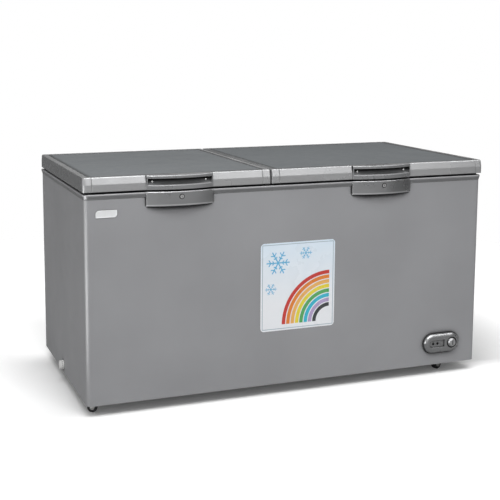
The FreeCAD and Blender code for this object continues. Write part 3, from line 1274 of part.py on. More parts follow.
def make_caster_fork(place):
    """Bent fork with two cheeks beside the wheel."""
    top = crown_top()
    under = top - CASTER_CROWN_SHEET
    inner = CASTER_WHEEL_WIDTH / 2 + CASTER_CHEEK_GAP
    outer = inner + CASTER_CHEEK_SHEET
    crown = rod(Vector(0, 0, under), Vector(0, 0, 1), CASTER_CROWN_RADIUS, CASTER_CROWN_SHEET)
    pieces = []
    for y in (-outer, inner):
        cheek = polygon_prism(
            [Vector(-CASTER_CHEEK_RADIUS, y, top), Vector(CASTER_TRAIL + CASTER_CHEEK_RADIUS / 2, y, top),
             Vector(CASTER_TRAIL + CASTER_CHEEK_RADIUS, y, CASTER_WHEEL_RADIUS),
             Vector(CASTER_TRAIL - CASTER_CHEEK_RADIUS, y, CASTER_WHEEL_RADIUS)],
            Vector(0, CASTER_CHEEK_SHEET, 0))
        boss = rod(
            Vector(CASTER_TRAIL, y, CASTER_WHEEL_RADIUS), Vector(0, 1, 0),
            CASTER_CHEEK_RADIUS, CASTER_CHEEK_SHEET)
        pieces += [cheek, boss]
    stem_hole = rod(Vector(0, 0, under - PAST), Vector(0, 0, 1), CASTER_STEM_RADIUS + CASTER_FIT,
                    CASTER_CROWN_SHEET + 2 * PAST)
    axle_hole = rod(
        Vector(CASTER_TRAIL, -outer - PAST, CASTER_WHEEL_RADIUS), Vector(0, 1, 0),
        CASTER_AXLE_RADIUS + CASTER_FIT, 2 * outer + 2 * PAST)
    return turned(one_solid(crown.fuse(pieces).cut([stem_hole, axle_hole])), place)


def make_caster_axle(place):
    """Riveted axle across the fork."""
    reach = CASTER_WHEEL_WIDTH / 2 + CASTER_CHEEK_GAP + CASTER_CHEEK_SHEET
    start = Vector(CASTER_TRAIL, -reach, CASTER_WHEEL_RADIUS)
    end = Vector(CASTER_TRAIL, reach, CASTER_WHEEL_RADIUS)
    shank = rod(start, Vector(0, 1, 0), CASTER_AXLE_RADIUS, 2 * reach)
    heads = [
        rod(start, Vector(0, -1, 0), CASTER_AXLE_HEAD_RADIUS, CASTER_AXLE_HEAD),
        rod(end, Vector(0, 1, 0), CASTER_AXLE_HEAD_RADIUS, CASTER_AXLE_HEAD),
    ]
    return turned(one_solid(shank.fuse(heads)), place)


def make_caster_wheel(place):
    """Wheel with rounded tread edges and dished hub faces."""
    half = CASTER_WHEEL_WIDTH / 2
    centre = Vector(CASTER_TRAIL, -half, CASTER_WHEEL_RADIUS)
    wheel = rod(centre, Vector(0, 1, 0), CASTER_WHEEL_RADIUS, CASTER_WHEEL_WIDTH)
    tread = [edge for edge in wheel.Edges if edge.Curve.TypeId == "Part::GeomCircle"]
    wheel = wheel.makeFillet(CASTER_WHEEL_ROUND, tread)
    cuts = [rod(centre - Vector(0, PAST, 0), Vector(0, 1, 0), CASTER_AXLE_RADIUS + CASTER_FIT,
                CASTER_WHEEL_WIDTH + 2 * PAST)]
    rim_radius = CASTER_WHEEL_RADIUS - CASTER_WHEEL_ROUND - CASTER_HUB_DEPTH
    for y, toward in ((-half, 1), (half, -1)):
        face = Vector(CASTER_TRAIL, y, CASTER_WHEEL_RADIUS)
        dish = rod(face, Vector(0, toward, 0), rim_radius, CASTER_HUB_DEPTH)
        hub = rod(face, Vector(0, toward, 0), CASTER_HUB_RADIUS, CASTER_HUB_DEPTH)
        cuts.append(dish.cut(hub))
    return turned(one_solid(wheel.cut(cuts)), place)


condenser_tunnel = condenser_tube(CONDENSER_TUBE_RADIUS + TUNNEL_CLEARANCE)
evaporator_tunnel = evaporator_tube(EVAPORATOR_TUBE_RADIUS + TUNNEL_CLEARANCE)

nodes = {
    "outer_shell": make_outer_shell(),
    "back_panel": make_back_panel(),
    "base_pan": make_base_pan(),
    "bay_panel": make_bay_panel(),
    "foam_insulation": make_foam(),
    "inner_liner": make_liner(),
    "rim_collar": make_collar(),
    "centre_beam": make_beam(),
    "condenser_coil": condenser_tube(CONDENSER_TUBE_RADIUS),
    "evaporator_coil": evaporator_tube(EVAPORATOR_TUBE_RADIUS),
    "compressor": make_compressor(),
    "compressor_grommets": make_grommets(),
    "terminal_box": make_terminal_box(),
    "filter_drier": make_drier(),
    "refrigerant_pipes": make_pipes(),
    "vent_grille": make_grille(),
    "cord_gland": make_gland(),
    "control_bezel": make_bezel(),
    "indicator_lenses": make_lenses(),
    "thermostat": make_thermostat(),
    "thermostat_knob": make_knob(),
    "drain_spout": make_drain_spout(),
    "drain_cap": make_drain_cap(),
    "hinge_brackets": make_hinge_brackets(),
    "hinge_pins": make_hinge_pins(),
    "caster_plates": make_caster_plates(),
}
for side in LIDS:
    nodes[f"{side}_lid_rails"] = make_rails(side)
    nodes[f"{side}_lid_corners"] = make_corners(side)
    nodes[f"{side}_lid_top_panel"] = make_top_panel(side)
    nodes[f"{side}_lid_foam"] = make_lid_foam(side)
    nodes[f"{side}_lid_inner_panel"] = make_inner_panel(side)
    nodes[f"{side}_lid_gasket"] = make_gasket(side)
    nodes[f"{side}_lid_handle"] = make_handle(side)
    nodes[f"{side}_handle_screws"] = make_handle_screws(side)
    nodes[f"{side}_hinge_arms"] = make_hinge_arms(side)
    nodes[f"{side}_lock_housing"] = make_lock_housing(side)
    nodes[f"{side}_lock_cylinder"] = make_lock_cylinder(side)
for place in caster_places():
    nodes[f"caster_fork_{place[0]}"] = make_caster_fork(place)
    nodes[f"caster_axle_{place[0]}"] = make_caster_axle(place)
    nodes[f"caster_wheel_{place[0]}"] = make_caster_wheel(place)

os.makedirs("parts", exist_ok=True)
for name, shape in nodes.items():
    shape.exportStep(f"parts/{name}.step")
print(len(nodes), "nodes")
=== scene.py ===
import math

import bpy
import numpy as np
from mathutils import Matrix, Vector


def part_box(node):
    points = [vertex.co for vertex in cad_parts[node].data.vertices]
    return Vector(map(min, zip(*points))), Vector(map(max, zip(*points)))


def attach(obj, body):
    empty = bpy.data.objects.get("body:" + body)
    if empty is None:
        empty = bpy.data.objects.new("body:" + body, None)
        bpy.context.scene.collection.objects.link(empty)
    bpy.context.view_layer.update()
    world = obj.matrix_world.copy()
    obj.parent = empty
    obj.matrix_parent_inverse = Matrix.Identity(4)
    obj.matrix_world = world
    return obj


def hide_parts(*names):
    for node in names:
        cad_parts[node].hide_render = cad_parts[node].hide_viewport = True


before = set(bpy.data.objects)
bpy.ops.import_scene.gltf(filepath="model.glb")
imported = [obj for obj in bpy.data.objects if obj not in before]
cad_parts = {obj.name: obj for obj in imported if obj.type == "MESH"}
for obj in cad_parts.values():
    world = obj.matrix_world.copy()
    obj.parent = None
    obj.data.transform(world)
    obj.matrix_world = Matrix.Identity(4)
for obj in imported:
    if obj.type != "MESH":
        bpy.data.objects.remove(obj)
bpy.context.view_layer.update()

# All lengths are metres, apart from the sensor's width. The front faces -Y, the floor is z = 0 and +X is to
# the right of someone facing the front.
MM = 0.001
SIDES = ("left", "right")
CASTERS = ("front_left", "front_right", "rear_left", "rear_right")

# Where the photograph was taken from: lens and picture centre in pixels of its 500 x 500 frame, and the
# width of the sensor in millimetres
PICTURE = 500
FOCAL_PIXELS = 1004.0
CENTRE_PIXEL = (215, 175)
SENSOR_WIDTH = 36.0
CAMERA_PLACE = (-1.5070, -3.6349, 1.2936)
CAMERA_YAW = math.radians(20.106)
CAMERA_PITCH = math.radians(7.609)
CAMERA_ROLL = math.radians(0.084)

# Planes that added pieces sit on: front skin, back panel, the hinge plates on it and the lids' hinge leaves
HINGE_SHEET = 3 * MM
FRONT_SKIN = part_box("outer_shell")[0].y
BACK_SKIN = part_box("back_panel")[1].y
HINGE_PLATE = BACK_SKIN + HINGE_SHEET
HINGE_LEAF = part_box("left_hinge_arms")[0].y + HINGE_SHEET

# Front sticker and badge, as x and z of their corners on the front skin. Each ring of an edge is an inset
# and a height above the skin.
PLATE_STEPS = 10
LABEL_LOW = (-0.138, 0.246)
LABEL_HIGH = (0.158, 0.572)
LABEL_CORNER = 0.014
LABEL_THICK = 0.0003
LABEL_RINGS = [(0.0, 0.0), (0.0, 0.7 * LABEL_THICK), (0.3 * LABEL_THICK, LABEL_THICK)]
BADGE_LOW = (-0.741, 0.7015)
BADGE_HIGH = (-0.666, 0.727)
BADGE_CORNERS = (0.003, 0.012, 0.003, 0.012)
BADGE_THICK = 0.0020
BADGE_RINGS = [
    (0.0, 0.0), (0.0, 1.3 * MM), (0.7 * MM, BADGE_THICK), (1.9 * MM, BADGE_THICK), (2.5 * MM, 1.4 * MM)]

# Print of the sticker: its ground, ice crystals (x, z, size), a frame line between two distances from the
# edge, and rings of colour round its lower right corner, inked over a span of their pitch
GROUND_FOOT = (0.78, 0.80, 0.83)
GROUND_HEAD = (0.66, 0.76, 0.85)
GROUND_CLOUD = (0.88, 0.89, 0.91)
GROUND_RISE = 0.10
CRYSTAL_BLUE = (0.13, 0.42, 0.66)
CRYSTALS = ((-0.070, 0.498, 0.046), (0.040, 0.528, 0.025), (-0.098, 0.402, 0.023))
FRAME_TONE = (0.32, 0.40, 0.46)
FRAME_OUTER = 5.5 * MM
FRAME_INNER = 8.5 * MM
FRAME_BLUR = 0.5 * MM
RING_INSET = 0.022
RING_START = 0.052
RING_PITCH = 0.0175
RING_INKED = (0.07, 0.87)
RING_BLUR = 0.01
RING_COLOURS = (
    (0.050, 0.055, 0.060), (0.42, 0.34, 0.55), (0.05, 0.45, 0.60), (0.10, 0.38, 0.12),
    (0.75, 0.62, 0.06), (0.78, 0.42, 0.12), (0.72, 0.22, 0.04), (0.55, 0.05, 0.04))

# Parts of an ice crystal as shares of its size: half the width of an arm or twig, where twigs start and how
# far they reach, and how softly all end
ARM_HALF = 0.045
ARM_BLUR = 0.01
TWIGS = ((0.38, 0.16), (0.64, 0.26))
TWIG_BLUR = 0.013


class Tree:
    """A node tree being built: each method adds nodes and gives back what carries their result."""

    def __init__(self, tree):
        self.tree = tree

    def node(self, kind, inputs=None, **settings):
        """Adds a node, sets its options, then sets or links its inputs by name or number."""
        made = self.tree.nodes.new("ShaderNode" + kind)
        for name, value in settings.items():
            setattr(made, name, value)
        for key, value in (inputs or {}).items():
            socket = made.inputs[key]
            if isinstance(value, bpy.types.NodeSocket):
                self.tree.links.new(value, socket)
            elif socket.type == "RGBA":
                socket.default_value = (*value, 1.0)
            else:
                socket.default_value = value
        return made

    def place(self):
        """The point being shaded, in metres from the object's origin."""
        return self.node("TexCoord").outputs["Object"]

    def axis(self, name):
        """One coordinate of the point being shaded."""
        return self.node("SeparateXYZ", {0: self.place()}).outputs[name]

    def math(self, operation, *values):
        """One arithmetic step."""
        return self.node("Math", dict(enumerate(values)), operation=operation).outputs[0]

    def ramp(self, value, low, high, out_low=0.0, out_high=1.0):
        """Value carried from the span low to high onto the span out_low to out_high, and held at its
        ends."""
        return self.node("MapRange", {0: value, 1: low, 2: high, 3: out_low, 4: out_high}).outputs[0]

    def mix(self, factor, first, second):
        """Colour between two colours."""
        return self.node("Mix", {0: factor, 6: first, 7: second}, data_type="RGBA").outputs[2]

    def noise(self, scale, detail, stretch=(1.0, 1.0, 1.0)):
        """Smooth noise about 0.5, with scale bumps to a metre, drawn out along an axis by a small
        stretch."""
        point = self.node("Mapping", {"Vector": self.place(), "Scale": stretch}).outputs[0]
        return self.node("TexNoise", {"Vector": point, "Scale": scale, "Detail": detail}).outputs[0]

    def within(self, name, low, high):
        """1 where one coordinate lies between two values, with ends a millimetre soft, and 0 elsewhere."""
        rise = self.ramp(self.axis(name), low - MM / 2, low + MM / 2)
        fall = self.ramp(self.axis(name), high - MM / 2, high + MM / 2, 1.0, 0.0)
        return self.math("MULTIPLY", rise, fall)

    def beyond(self, value, low, high):
        """How far a value lies outside a span, negative inside it: its distance from the span's middle less
        half the span."""
        off_middle = self.math("ABSOLUTE", self.math("SUBTRACT", value, (low + high) / 2))
        return self.math("SUBTRACT", off_middle, (high - low) / 2)

    def distance(self, across, rise):
        """Length of a step across and up: the root of the sum of their squares."""
        squares = [self.math("POWER", step, 2.0) for step in (across, rise)]
        return self.math("SQRT", self.math("ADD", *squares))

    def effect(self, group, **values):
        """Places a shared effect, with its inputs named in lower case and underscores."""
        named = {name.replace("_", " ").capitalize(): value for name, value in values.items()}
        return self.node("Group", named, node_tree=group).outputs


def make_group(name, inputs, outputs, build):
    """Shared effect: inputs gives each value's default, outputs each result's kind, and build makes the
    results."""
    tree = bpy.data.node_groups.new(name, "ShaderNodeTree")
    for label, value in inputs.items():
        socket = tree.interface.new_socket(name=label, in_out="INPUT", socket_type="NodeSocketFloat")
        socket.default_value = value
    for label, kind in outputs.items():
        tree.interface.new_socket(name=label, in_out="OUTPUT", socket_type="NodeSocket" + kind)
    given = tree.nodes.new("NodeGroupInput")
    results = build(Tree(tree), given.outputs)
    end = tree.nodes.new("NodeGroupOutput")
    for label, socket in results.items():
        tree.links.new(socket, end.inputs[label])
    return tree


def build_skin(t, given):
    """Coat of paint: fine orange peel on slow waves of the sheet, and a slow drift of tone."""
    fine = t.node("TexNoise", {"Vector": t.place(), "Scale": given["Grain"], "Detail": 2.0}).outputs[0]
    peel = t.math("MULTIPLY", fine, given["Peel"])
    wave = t.math("MULTIPLY", t.noise(scale=2.4, detail=1.0), given["Wave"])
    return {"Height": t.math("ADD", peel, wave), "Tone": t.noise(scale=3.1, detail=3.0)}


def build_grain(t, given):
    """Spark-eroded mould grain: cells with soft walls under a finer roughening."""
    fine_share = 0.6
    cells = t.node("TexVoronoi", {"Vector": t.place(), "Scale": given["Scale"]}, feature="SMOOTH_F1")
    fine = t.node("TexNoise", {"Vector": t.place(), "Scale": given["Scale"], "Detail": 3.0}).outputs[0]
    pattern = t.math("ADD", cells.outputs["Distance"], t.math("MULTIPLY", fine, fine_share))
    return {"Height": t.math("MULTIPLY", pattern, given["Depth"]), "Speckle": fine}


def build_marks(t, given):
    """Traces of use: wiped smudges, hairline scratches, and dust that gathers on what faces up."""
    scratch_width = 0.006
    smudge_span, flake_span, level_span = (0.42, 0.68), (0.4, 0.75), (0.55, 1.0)
    smudge = t.ramp(t.noise(scale=7.0, detail=4.0), *smudge_span)
    hair = t.noise(scale=60.0, detail=2.0, stretch=(0.06, 1.0, 1.0))
    off_line = t.math("ABSOLUTE", t.math("SUBTRACT", hair, 0.5))
    scratch = t.ramp(off_line, 0.0, scratch_width, 1.0, 0.0)
    upward = t.node("SeparateXYZ", {0: t.node("NewGeometry").outputs["Normal"]}).outputs["Z"]
    flakes = t.ramp(t.noise(scale=38.0, detail=5.0), *flake_span)
    settled = t.math("MULTIPLY", t.ramp(upward, *level_span), flakes)
    return {"Smudge": smudge, "Scratch": scratch, "Dust": t.math("MULTIPLY", settled, given["Dust"])}


def build_crystal(t, given):
    """Ice crystal about a centre in x and z: one twelfth is drawn, half an arm with two twigs that slant at
    60 degrees from it, and folded round."""
    across = t.math("DIVIDE", t.math("SUBTRACT", t.axis("X"), given["Centre x"]), given["Size"])
    rise = t.math("DIVIDE", t.math("SUBTRACT", t.axis("Z"), given["Centre z"]), given["Size"])
    reach = t.distance(across, rise)
    folded = t.math("PINGPONG", t.math("ARCTAN2", rise, across), math.pi / 6)
    along = t.math("MULTIPLY", reach, t.math("COSINE", folded))
    aside = t.math("MULTIPLY", reach, t.math("SINE", folded))
    arm = t.ramp(aside, ARM_HALF, ARM_HALF + ARM_BLUR, 1.0, 0.0)
    shape = t.math("MULTIPLY", arm, t.ramp(along, 1.0 - ARM_BLUR, 1.0, 1.0, 0.0))
    slanted = t.math("MULTIPLY_ADD", aside, -math.tan(math.pi / 6), along)
    for start, length in TWIGS:
        off_twig = t.math("ABSOLUTE", t.math("SUBTRACT", slanted, start))
        twig = t.ramp(off_twig, ARM_HALF, ARM_HALF + TWIG_BLUR, 1.0, 0.0)
        twig = t.math("MULTIPLY", twig, t.ramp(aside, length, length + ARM_BLUR, 1.0, 0.0))
        shape = t.math("MAXIMUM", shape, twig)
    return {"Mask": shape}


def build_painted_shade(t, given):
    """Open share of what a point sees within a reach: painted shade is put where it is small, in hollows and
    under other pieces.
    """
    clear_share = 0.9
    open_share = t.node("AmbientOcclusion", {"Distance": given["Reach"]}, samples=8).outputs["AO"]
    return {"Open": t.ramp(open_share, given["Closed"], clear_share)}


def build_edges(t, given):
    """Rounded normal along sharp edges, and a mask that is 1 where the edge turns most."""
    flat, turned = 0.97, 0.75
    rounded = t.node("Bevel", {"Radius": given["Radius"]}, samples=12).outputs[0]
    plain = t.node("NewGeometry").outputs["Normal"]
    agree = t.node("VectorMath", {0: rounded, 1: plain}, operation="DOT_PRODUCT").outputs["Value"]
    return {"Normal": rounded, "Edge": t.ramp(agree, flat, turned)}


# Usual relief of the finishes: bumps to a metre and depth of the orange peel, height of a sheet's slow waves,
# cells to a metre and depth of the mould grain, and the round of edges
PEEL_GRAIN = 700.0
PEEL_DEPTH = 5e-6
SHEET_WAVE = 4e-4
MOULD_CELLS = 1500.0
MOULD_DEPTH = 8e-6
EDGE_ROUND = 0.8 * MM
PAINT_SKIN = make_group(
    "paint_skin", {"Grain": PEEL_GRAIN, "Peel": PEEL_DEPTH, "Wave": SHEET_WAVE},
    {"Height": "Float", "Tone": "Float"}, build_skin)
MOULD_GRAIN = make_group(
    "mould_grain", {"Scale": MOULD_CELLS, "Depth": MOULD_DEPTH}, {"Height": "Float", "Speckle": "Float"},
    build_grain)
USE_MARKS = make_group(
    "use_marks", {"Dust": 0.1}, {"Smudge": "Float", "Scratch": "Float", "Dust": "Float"}, build_marks)
SOFT_EDGES = make_group(
    "soft_edges", {"Radius": EDGE_ROUND}, {"Normal": "Vector", "Edge": "Float"}, build_edges)
# Openness that sets where shade is painted, in hollows and under other pieces
PAINTED_SHADE_GROUP = make_group("painted_shade", {"Reach": 0.03, "Closed": 0.2}, {"Open": "Float"}, build_painted_shade)
ICE_CRYSTAL = make_group(
    "ice_crystal", {"Centre x": 0.0, "Centre z": 0.0, "Size": 0.03}, {"Mask": "Float"}, build_crystal)

# What finishes share: dust, the roughness of hollows, the share of its colour that an edge is worn to, the
# round of metal edges, the relief of streaks in metal, the painted shade of a panel's border and the part of
# it that is full, and the y over which a front colour, painted lighter for the light on the front, comes in
DUST_COLOUR = (0.55, 0.54, 0.52)
PIECE_DUST = 0.08
METAL_DUST = 0.04
DULL = 0.9
WORN_SHARE = 1.5
METAL_EDGE = 0.5 * MM
STREAK_RELIEF = 3e-6
BORDER_SHADE_SHARE = 0.35
BORDER_CORE = 0.3
FRONT_LIT_SPAN = (FRONT_SKIN + 12 * MM, FRONT_SKIN + 6 * MM)


def new_material(name):
    """Empty node material with its output node."""
    material = bpy.data.materials.new(name)
    material.use_nodes = True
    material.node_tree.nodes.clear()
    tree = Tree(material.node_tree)
    return material, tree, tree.node("OutputMaterial")


def surface(t, end, colour, roughness, height, normal, **constants):
    """Principled shader with its relief, fed by the sockets that vary over the surface."""
    bump = t.node("Bump", {"Height": height, "Normal": normal, "Distance": 1.0}).outputs[0]
    inputs = {"Base Color": colour, "Roughness": roughness, "Normal": bump}
    inputs.update({name.replace("_", " "): value for name, value in constants.items()})
    shader = t.node("BsdfPrincipled", inputs)
    t.tree.links.new(shader.outputs[0], end.inputs["Surface"])


def times(share, colour):
    """Colour made lighter or darker."""
    return tuple(min(1.0, share * part) for part in colour)


def varied(t, mask, colour, low_share, high_share):
    """Colour that goes from one share of itself to another as a mask goes from 0 to 1."""
    return t.mix(mask, times(low_share, colour), times(high_share, colour))


def shade_in_hollows(t, tone, gloss, colour, reach, closed, share, scoop_shade=None):
    """Painted shade: tone that falls to a share of the colour in hollows, fully where no more than the closed
    share is open, and a gloss that turns dull there. A scoop (low z, high z, share) is a recess under a brow,
    whose painted shade lightens to another share at its foot."""
    opened = t.effect(PAINTED_SHADE_GROUP, reach=reach, closed=closed)["Open"]
    shade = times(share, colour)
    if scoop_shade:
        foot, brow, foot_share = scoop_shade
        shade = t.mix(t.ramp(t.axis("Z"), foot, brow), times(foot_share, colour), shade)
    return t.mix(opened, shade, tone), t.ramp(opened, 0.0, 1.0, DULL, gloss)


def painted(name, colour, rough, dust=PIECE_DUST, grain=PEEL_GRAIN, peel=PEEL_DEPTH, hollow_shade=None,
            border=None, **constants):
    """Satin paint on sheet metal: orange peel, slow waves, smudged gloss, dust, and edges worn a little
    lighter. A hollow (reach, closed, share) paints shade on what lies close under other pieces, and a border
    (low, high, width) paints shade along the edge of a level panel."""
    wear, scratch_gloss = 0.25, 0.06
    dark_share, light_share = 0.94, 1.05
    wiped, smudged = rough - 0.02, rough + 0.05
    material, t, end = new_material(name)
    skin = t.effect(PAINT_SKIN, grain=grain, peel=peel)
    marks = t.effect(USE_MARKS, dust=dust)
    edges = t.effect(SOFT_EDGES)
    tone = varied(t, t.ramp(skin["Tone"], 0.3, 0.7), colour, dark_share, light_share)
    tone = t.mix(t.math("MULTIPLY", edges["Edge"], wear), tone, times(WORN_SHARE, colour))
    tone = t.mix(marks["Dust"], tone, DUST_COLOUR)
    # Painted shade along the panel's edges, where it meets the rails
    if border:
        low, high, width = border
        past = [t.beyond(t.axis(axis), *span) for axis, span in zip("XY", zip(low, high))]
        rim = t.ramp(t.math("MAXIMUM", *past), -width, -BORDER_CORE * width)
        tone = t.mix(rim, tone, times(BORDER_SHADE_SHARE, colour))
    gloss = t.ramp(marks["Smudge"], 0.0, 1.0, wiped, smudged)
    gloss = t.math("ADD", gloss, t.math("MULTIPLY", marks["Scratch"], scratch_gloss))
    # Painted shade in hollows and under other pieces
    if hollow_shade:
        tone, gloss = shade_in_hollows(t, tone, gloss, colour, *hollow_shade)
    surface(t, end, tone, gloss, skin["Height"], edges["Normal"], **constants)
    return material


def moulded(name, colour, rough, grain=MOULD_CELLS, depth=MOULD_DEPTH, edge=EDGE_ROUND, front=None,
            highlight_bands=(), hollow_shade=None, **constants):
    """Moulded plastic or rubber: eroded grain, smudged gloss, and edges rubbed a little lighter and
    smoother. A front colour, painted lighter for the light that falls on the front, covers what lies at the
    front of the part, each band (low x, high x, low z, high z, colour) paints a highlight on what lies in a
    span of x and of height, and a hollow (reach, closed, share) paints shade on what lies deep."""
    rubbed, rubbed_lift, rubbed_gloss = 0.3, 0.01, 0.08
    dark_share, light_share = 0.92, 1.06
    wiped, smudged = rough - 0.03, rough + 0.06
    material, t, end = new_material(name)
    skin = t.effect(MOULD_GRAIN, scale=grain, depth=depth)
    marks = t.effect(USE_MARKS, dust=PIECE_DUST)
    edges = t.effect(SOFT_EDGES, radius=edge)
    speckle = t.ramp(skin["Speckle"], 0.25, 0.75)
    tone = varied(t, speckle, colour, dark_share, light_share)
    # Painted light: the front is lighter for the light that falls on it
    if front:
        ahead = t.ramp(t.axis("Y"), *FRONT_LIT_SPAN)
        tone = t.mix(ahead, tone, varied(t, speckle, front, dark_share, 1.0))
    # Painted highlights along edges and crowns
    for left, right, foot, head, highlight_colour in highlight_bands:
        highlighted = t.math("MULTIPLY", t.within("X", left, right), t.within("Z", foot, head))
        tone = t.mix(highlighted, tone, highlight_colour)
    lighter = tuple(min(1.0, WORN_SHARE * part + rubbed_lift) for part in colour)
    tone = t.mix(t.math("MULTIPLY", edges["Edge"], rubbed), tone, lighter)
    tone = t.mix(marks["Dust"], tone, DUST_COLOUR)
    gloss = t.ramp(marks["Smudge"], 0.0, 1.0, wiped, smudged)
    gloss = t.math("SUBTRACT", gloss, t.math("MULTIPLY", edges["Edge"], rubbed_gloss))
    # Painted shade in hollows and under other pieces
    if hollow_shade:
        tone, gloss = shade_in_hollows(t, tone, gloss, colour, *hollow_shade)
    surface(t, end, tone, gloss, skin["Height"], edges["Normal"], **constants)
    return material


def bare_metal(name, colour, rough, stretch=(1.0, 1.0, 1.0), metal=1.0):
    """Bare or plated metal: drawn or rolled streaks in its gloss and tone, and edges rounded a little."""
    dark_share, light_share = 0.85, 1.1
    wiped, smudged = rough - 0.06, rough + 0.1
    material, t, end = new_material(name)
    streak = t.noise(scale=900.0, detail=3.0, stretch=stretch)
    marks = t.effect(USE_MARKS, dust=METAL_DUST)
    edges = t.effect(SOFT_EDGES, radius=METAL_EDGE)
    tone = varied(t, streak, colour, dark_share, light_share)
    tone = t.mix(marks["Dust"], tone, DUST_COLOUR)
    gloss = t.ramp(t.math("ADD", streak, marks["Smudge"]), 0.3, 1.6, wiped, smudged)
    height = t.math("MULTIPLY", streak, STREAK_RELIEF)
    surface(t, end, tone, gloss, height, edges["Normal"], Metallic=metal)
    return material


def lock_face(name, centre_x, centre_z):
    """Plated lock barrel: a dark bush round a lighter plug that is turned smooth, and painted shade in its
    keyway.
    """
    plug_radius, plug_blur = 6.0 * MM, 0.6 * MM
    plug_smooth, plug_rough, plated = 0.24, 0.36, 0.6
    plug_dark, plug_light = (0.42, 0.42, 0.42), (0.58, 0.58, 0.58)
    bush_tone, keyway_shade = (0.05, 0.05, 0.052), (0.01, 0.01, 0.01)
    material, t, end = new_material(name)
    across = t.math("SUBTRACT", t.axis("X"), centre_x)
    rise = t.math("SUBTRACT", t.axis("Z"), centre_z)
    reach = t.distance(across, rise)
    turned = t.node("TexNoise", {"Vector": reach, "Scale": 4000.0, "Detail": 2.0}).outputs[0]
    plug = t.mix(turned, plug_dark, plug_light)
    tone = t.mix(t.ramp(reach, plug_radius, plug_radius + plug_blur), plug, bush_tone)
    gloss = t.ramp(turned, 0.0, 1.0, plug_smooth, plug_rough)
    # Painted shade in the keyway
    tone, gloss = shade_in_hollows(t, tone, gloss, keyway_shade, reach=5 * MM, closed=0.4, share=1.0)
    edges = t.effect(SOFT_EDGES, radius=METAL_EDGE)
    height = t.math("MULTIPLY", turned, STREAK_RELIEF)
    surface(t, end, tone, gloss, height, edges["Normal"], Metallic=plated)
    return material


def spangled(name, colour, rough):
    """Galvanised sheet: crystals a few millimetres wide that differ in tone and gloss."""
    spangle_relief, zinc_share = 4e-6, 0.9
    dark_share, light_share = 0.82, 1.08
    bright, dull = rough - 0.06, rough + 0.08
    material, t, end = new_material(name)
    crystals = t.node("TexVoronoi", {"Vector": t.place(), "Scale": 140.0})
    shade = t.node("SeparateColor", {0: crystals.outputs["Color"]}).outputs[0]
    edges = t.effect(SOFT_EDGES, radius=METAL_EDGE)
    tone = varied(t, shade, colour, dark_share, light_share)
    gloss = t.ramp(shade, 0.0, 1.0, bright, dull)
    height = t.math("MULTIPLY", shade, spangle_relief)
    surface(t, end, tone, gloss, height, edges["Normal"], Metallic=zinc_share)
    return material


def printed_rings(t, across, rise):
    """Mask and colour of the quarter rings round the sticker's lower right corner, counted outward in
    pitches."""
    number = len(RING_COLOURS)
    aside = t.math("SUBTRACT", LABEL_HIGH[0] - RING_INSET, across)
    above = t.math("SUBTRACT", rise, LABEL_LOW[1] + RING_INSET)
    count = t.math("DIVIDE", t.math("SUBTRACT", t.distance(aside, above), RING_START), RING_PITCH)
    colours = t.node("ValToRGB", {0: t.math("DIVIDE", count, float(number))})
    colours.color_ramp.interpolation = "CONSTANT"
    stops = colours.color_ramp.elements
    for index, colour in enumerate(RING_COLOURS):
        stop = stops[index] if index < len(stops) else stops.new(index / number)
        stop.position = index / number
        stop.color = (*colour, 1.0)
    share = t.math("FRACT", count)
    inner, outer = RING_INKED
    rising = t.ramp(share, inner - RING_BLUR, inner + RING_BLUR)
    falling = t.ramp(share, outer - RING_BLUR, outer + RING_BLUR, 1.0, 0.0)
    inked = t.math("MULTIPLY", rising, falling)
    inked = t.math("MULTIPLY", inked, t.math("GREATER_THAN", count, 0.0))
    inked = t.math("MULTIPLY", inked, t.math("LESS_THAN", count, float(number)))
    inked = t.math("MULTIPLY", inked, t.math("GREATER_THAN", t.math("MINIMUM", aside, above), 0.0))
    return inked, colours.outputs[0]


def printed_frame(t, across, rise):
    """Mask of the thin line that follows the sticker's edge at a small distance inside it."""
    past = [t.beyond(value, *span) for value, span in zip((across, rise), zip(LABEL_LOW, LABEL_HIGH))]
    border = t.math("MAXIMUM", *past)
    rising = t.ramp(border, -FRAME_INNER, FRAME_BLUR - FRAME_INNER)
    falling = t.ramp(border, -FRAME_OUTER - FRAME_BLUR, -FRAME_OUTER, 1.0, 0.0)
    return t.math("MULTIPLY", rising, falling)


def printed_film(name):
    """Sticker print: pale ground turning blue upward, a thin frame line, quarter rings of colour round the
    lower right corner, and ice crystals in the free corner."""
    film_relief, cloud_share = 1.5e-5, 0.10
    wiped, smudged = 0.22, 0.32
    material, t, end = new_material(name)
    across, rise = t.axis("X"), t.axis("Z")
    upward = t.ramp(rise, LABEL_LOW[1] + GROUND_RISE, LABEL_HIGH[1])
    tone = t.mix(upward, GROUND_FOOT, GROUND_HEAD)
    clouds = t.ramp(t.noise(scale=30.0, detail=3.0), 0.35, 0.65, 0.0, cloud_share)
    tone = t.mix(clouds, tone, GROUND_CLOUD)
    for x, z, size in CRYSTALS:
        mask = t.effect(ICE_CRYSTAL, centre_x=x, centre_z=z, size=size)["Mask"]
        tone = t.mix(mask, tone, CRYSTAL_BLUE)
    inked, ring_colour = printed_rings(t, across, rise)
    tone = t.mix(inked, tone, ring_colour)
    tone = t.mix(printed_frame(t, across, rise), tone, FRAME_TONE)
    marks = t.effect(USE_MARKS, dust=0.0)
    gloss = t.ramp(marks["Smudge"], 0.0, 1.0, wiped, smudged)
    height = t.math("MULTIPLY", t.noise(scale=45.0, detail=2.0), film_relief)
    surface(t, end, tone, gloss, height, t.node("NewGeometry").outputs["Normal"])
    return material


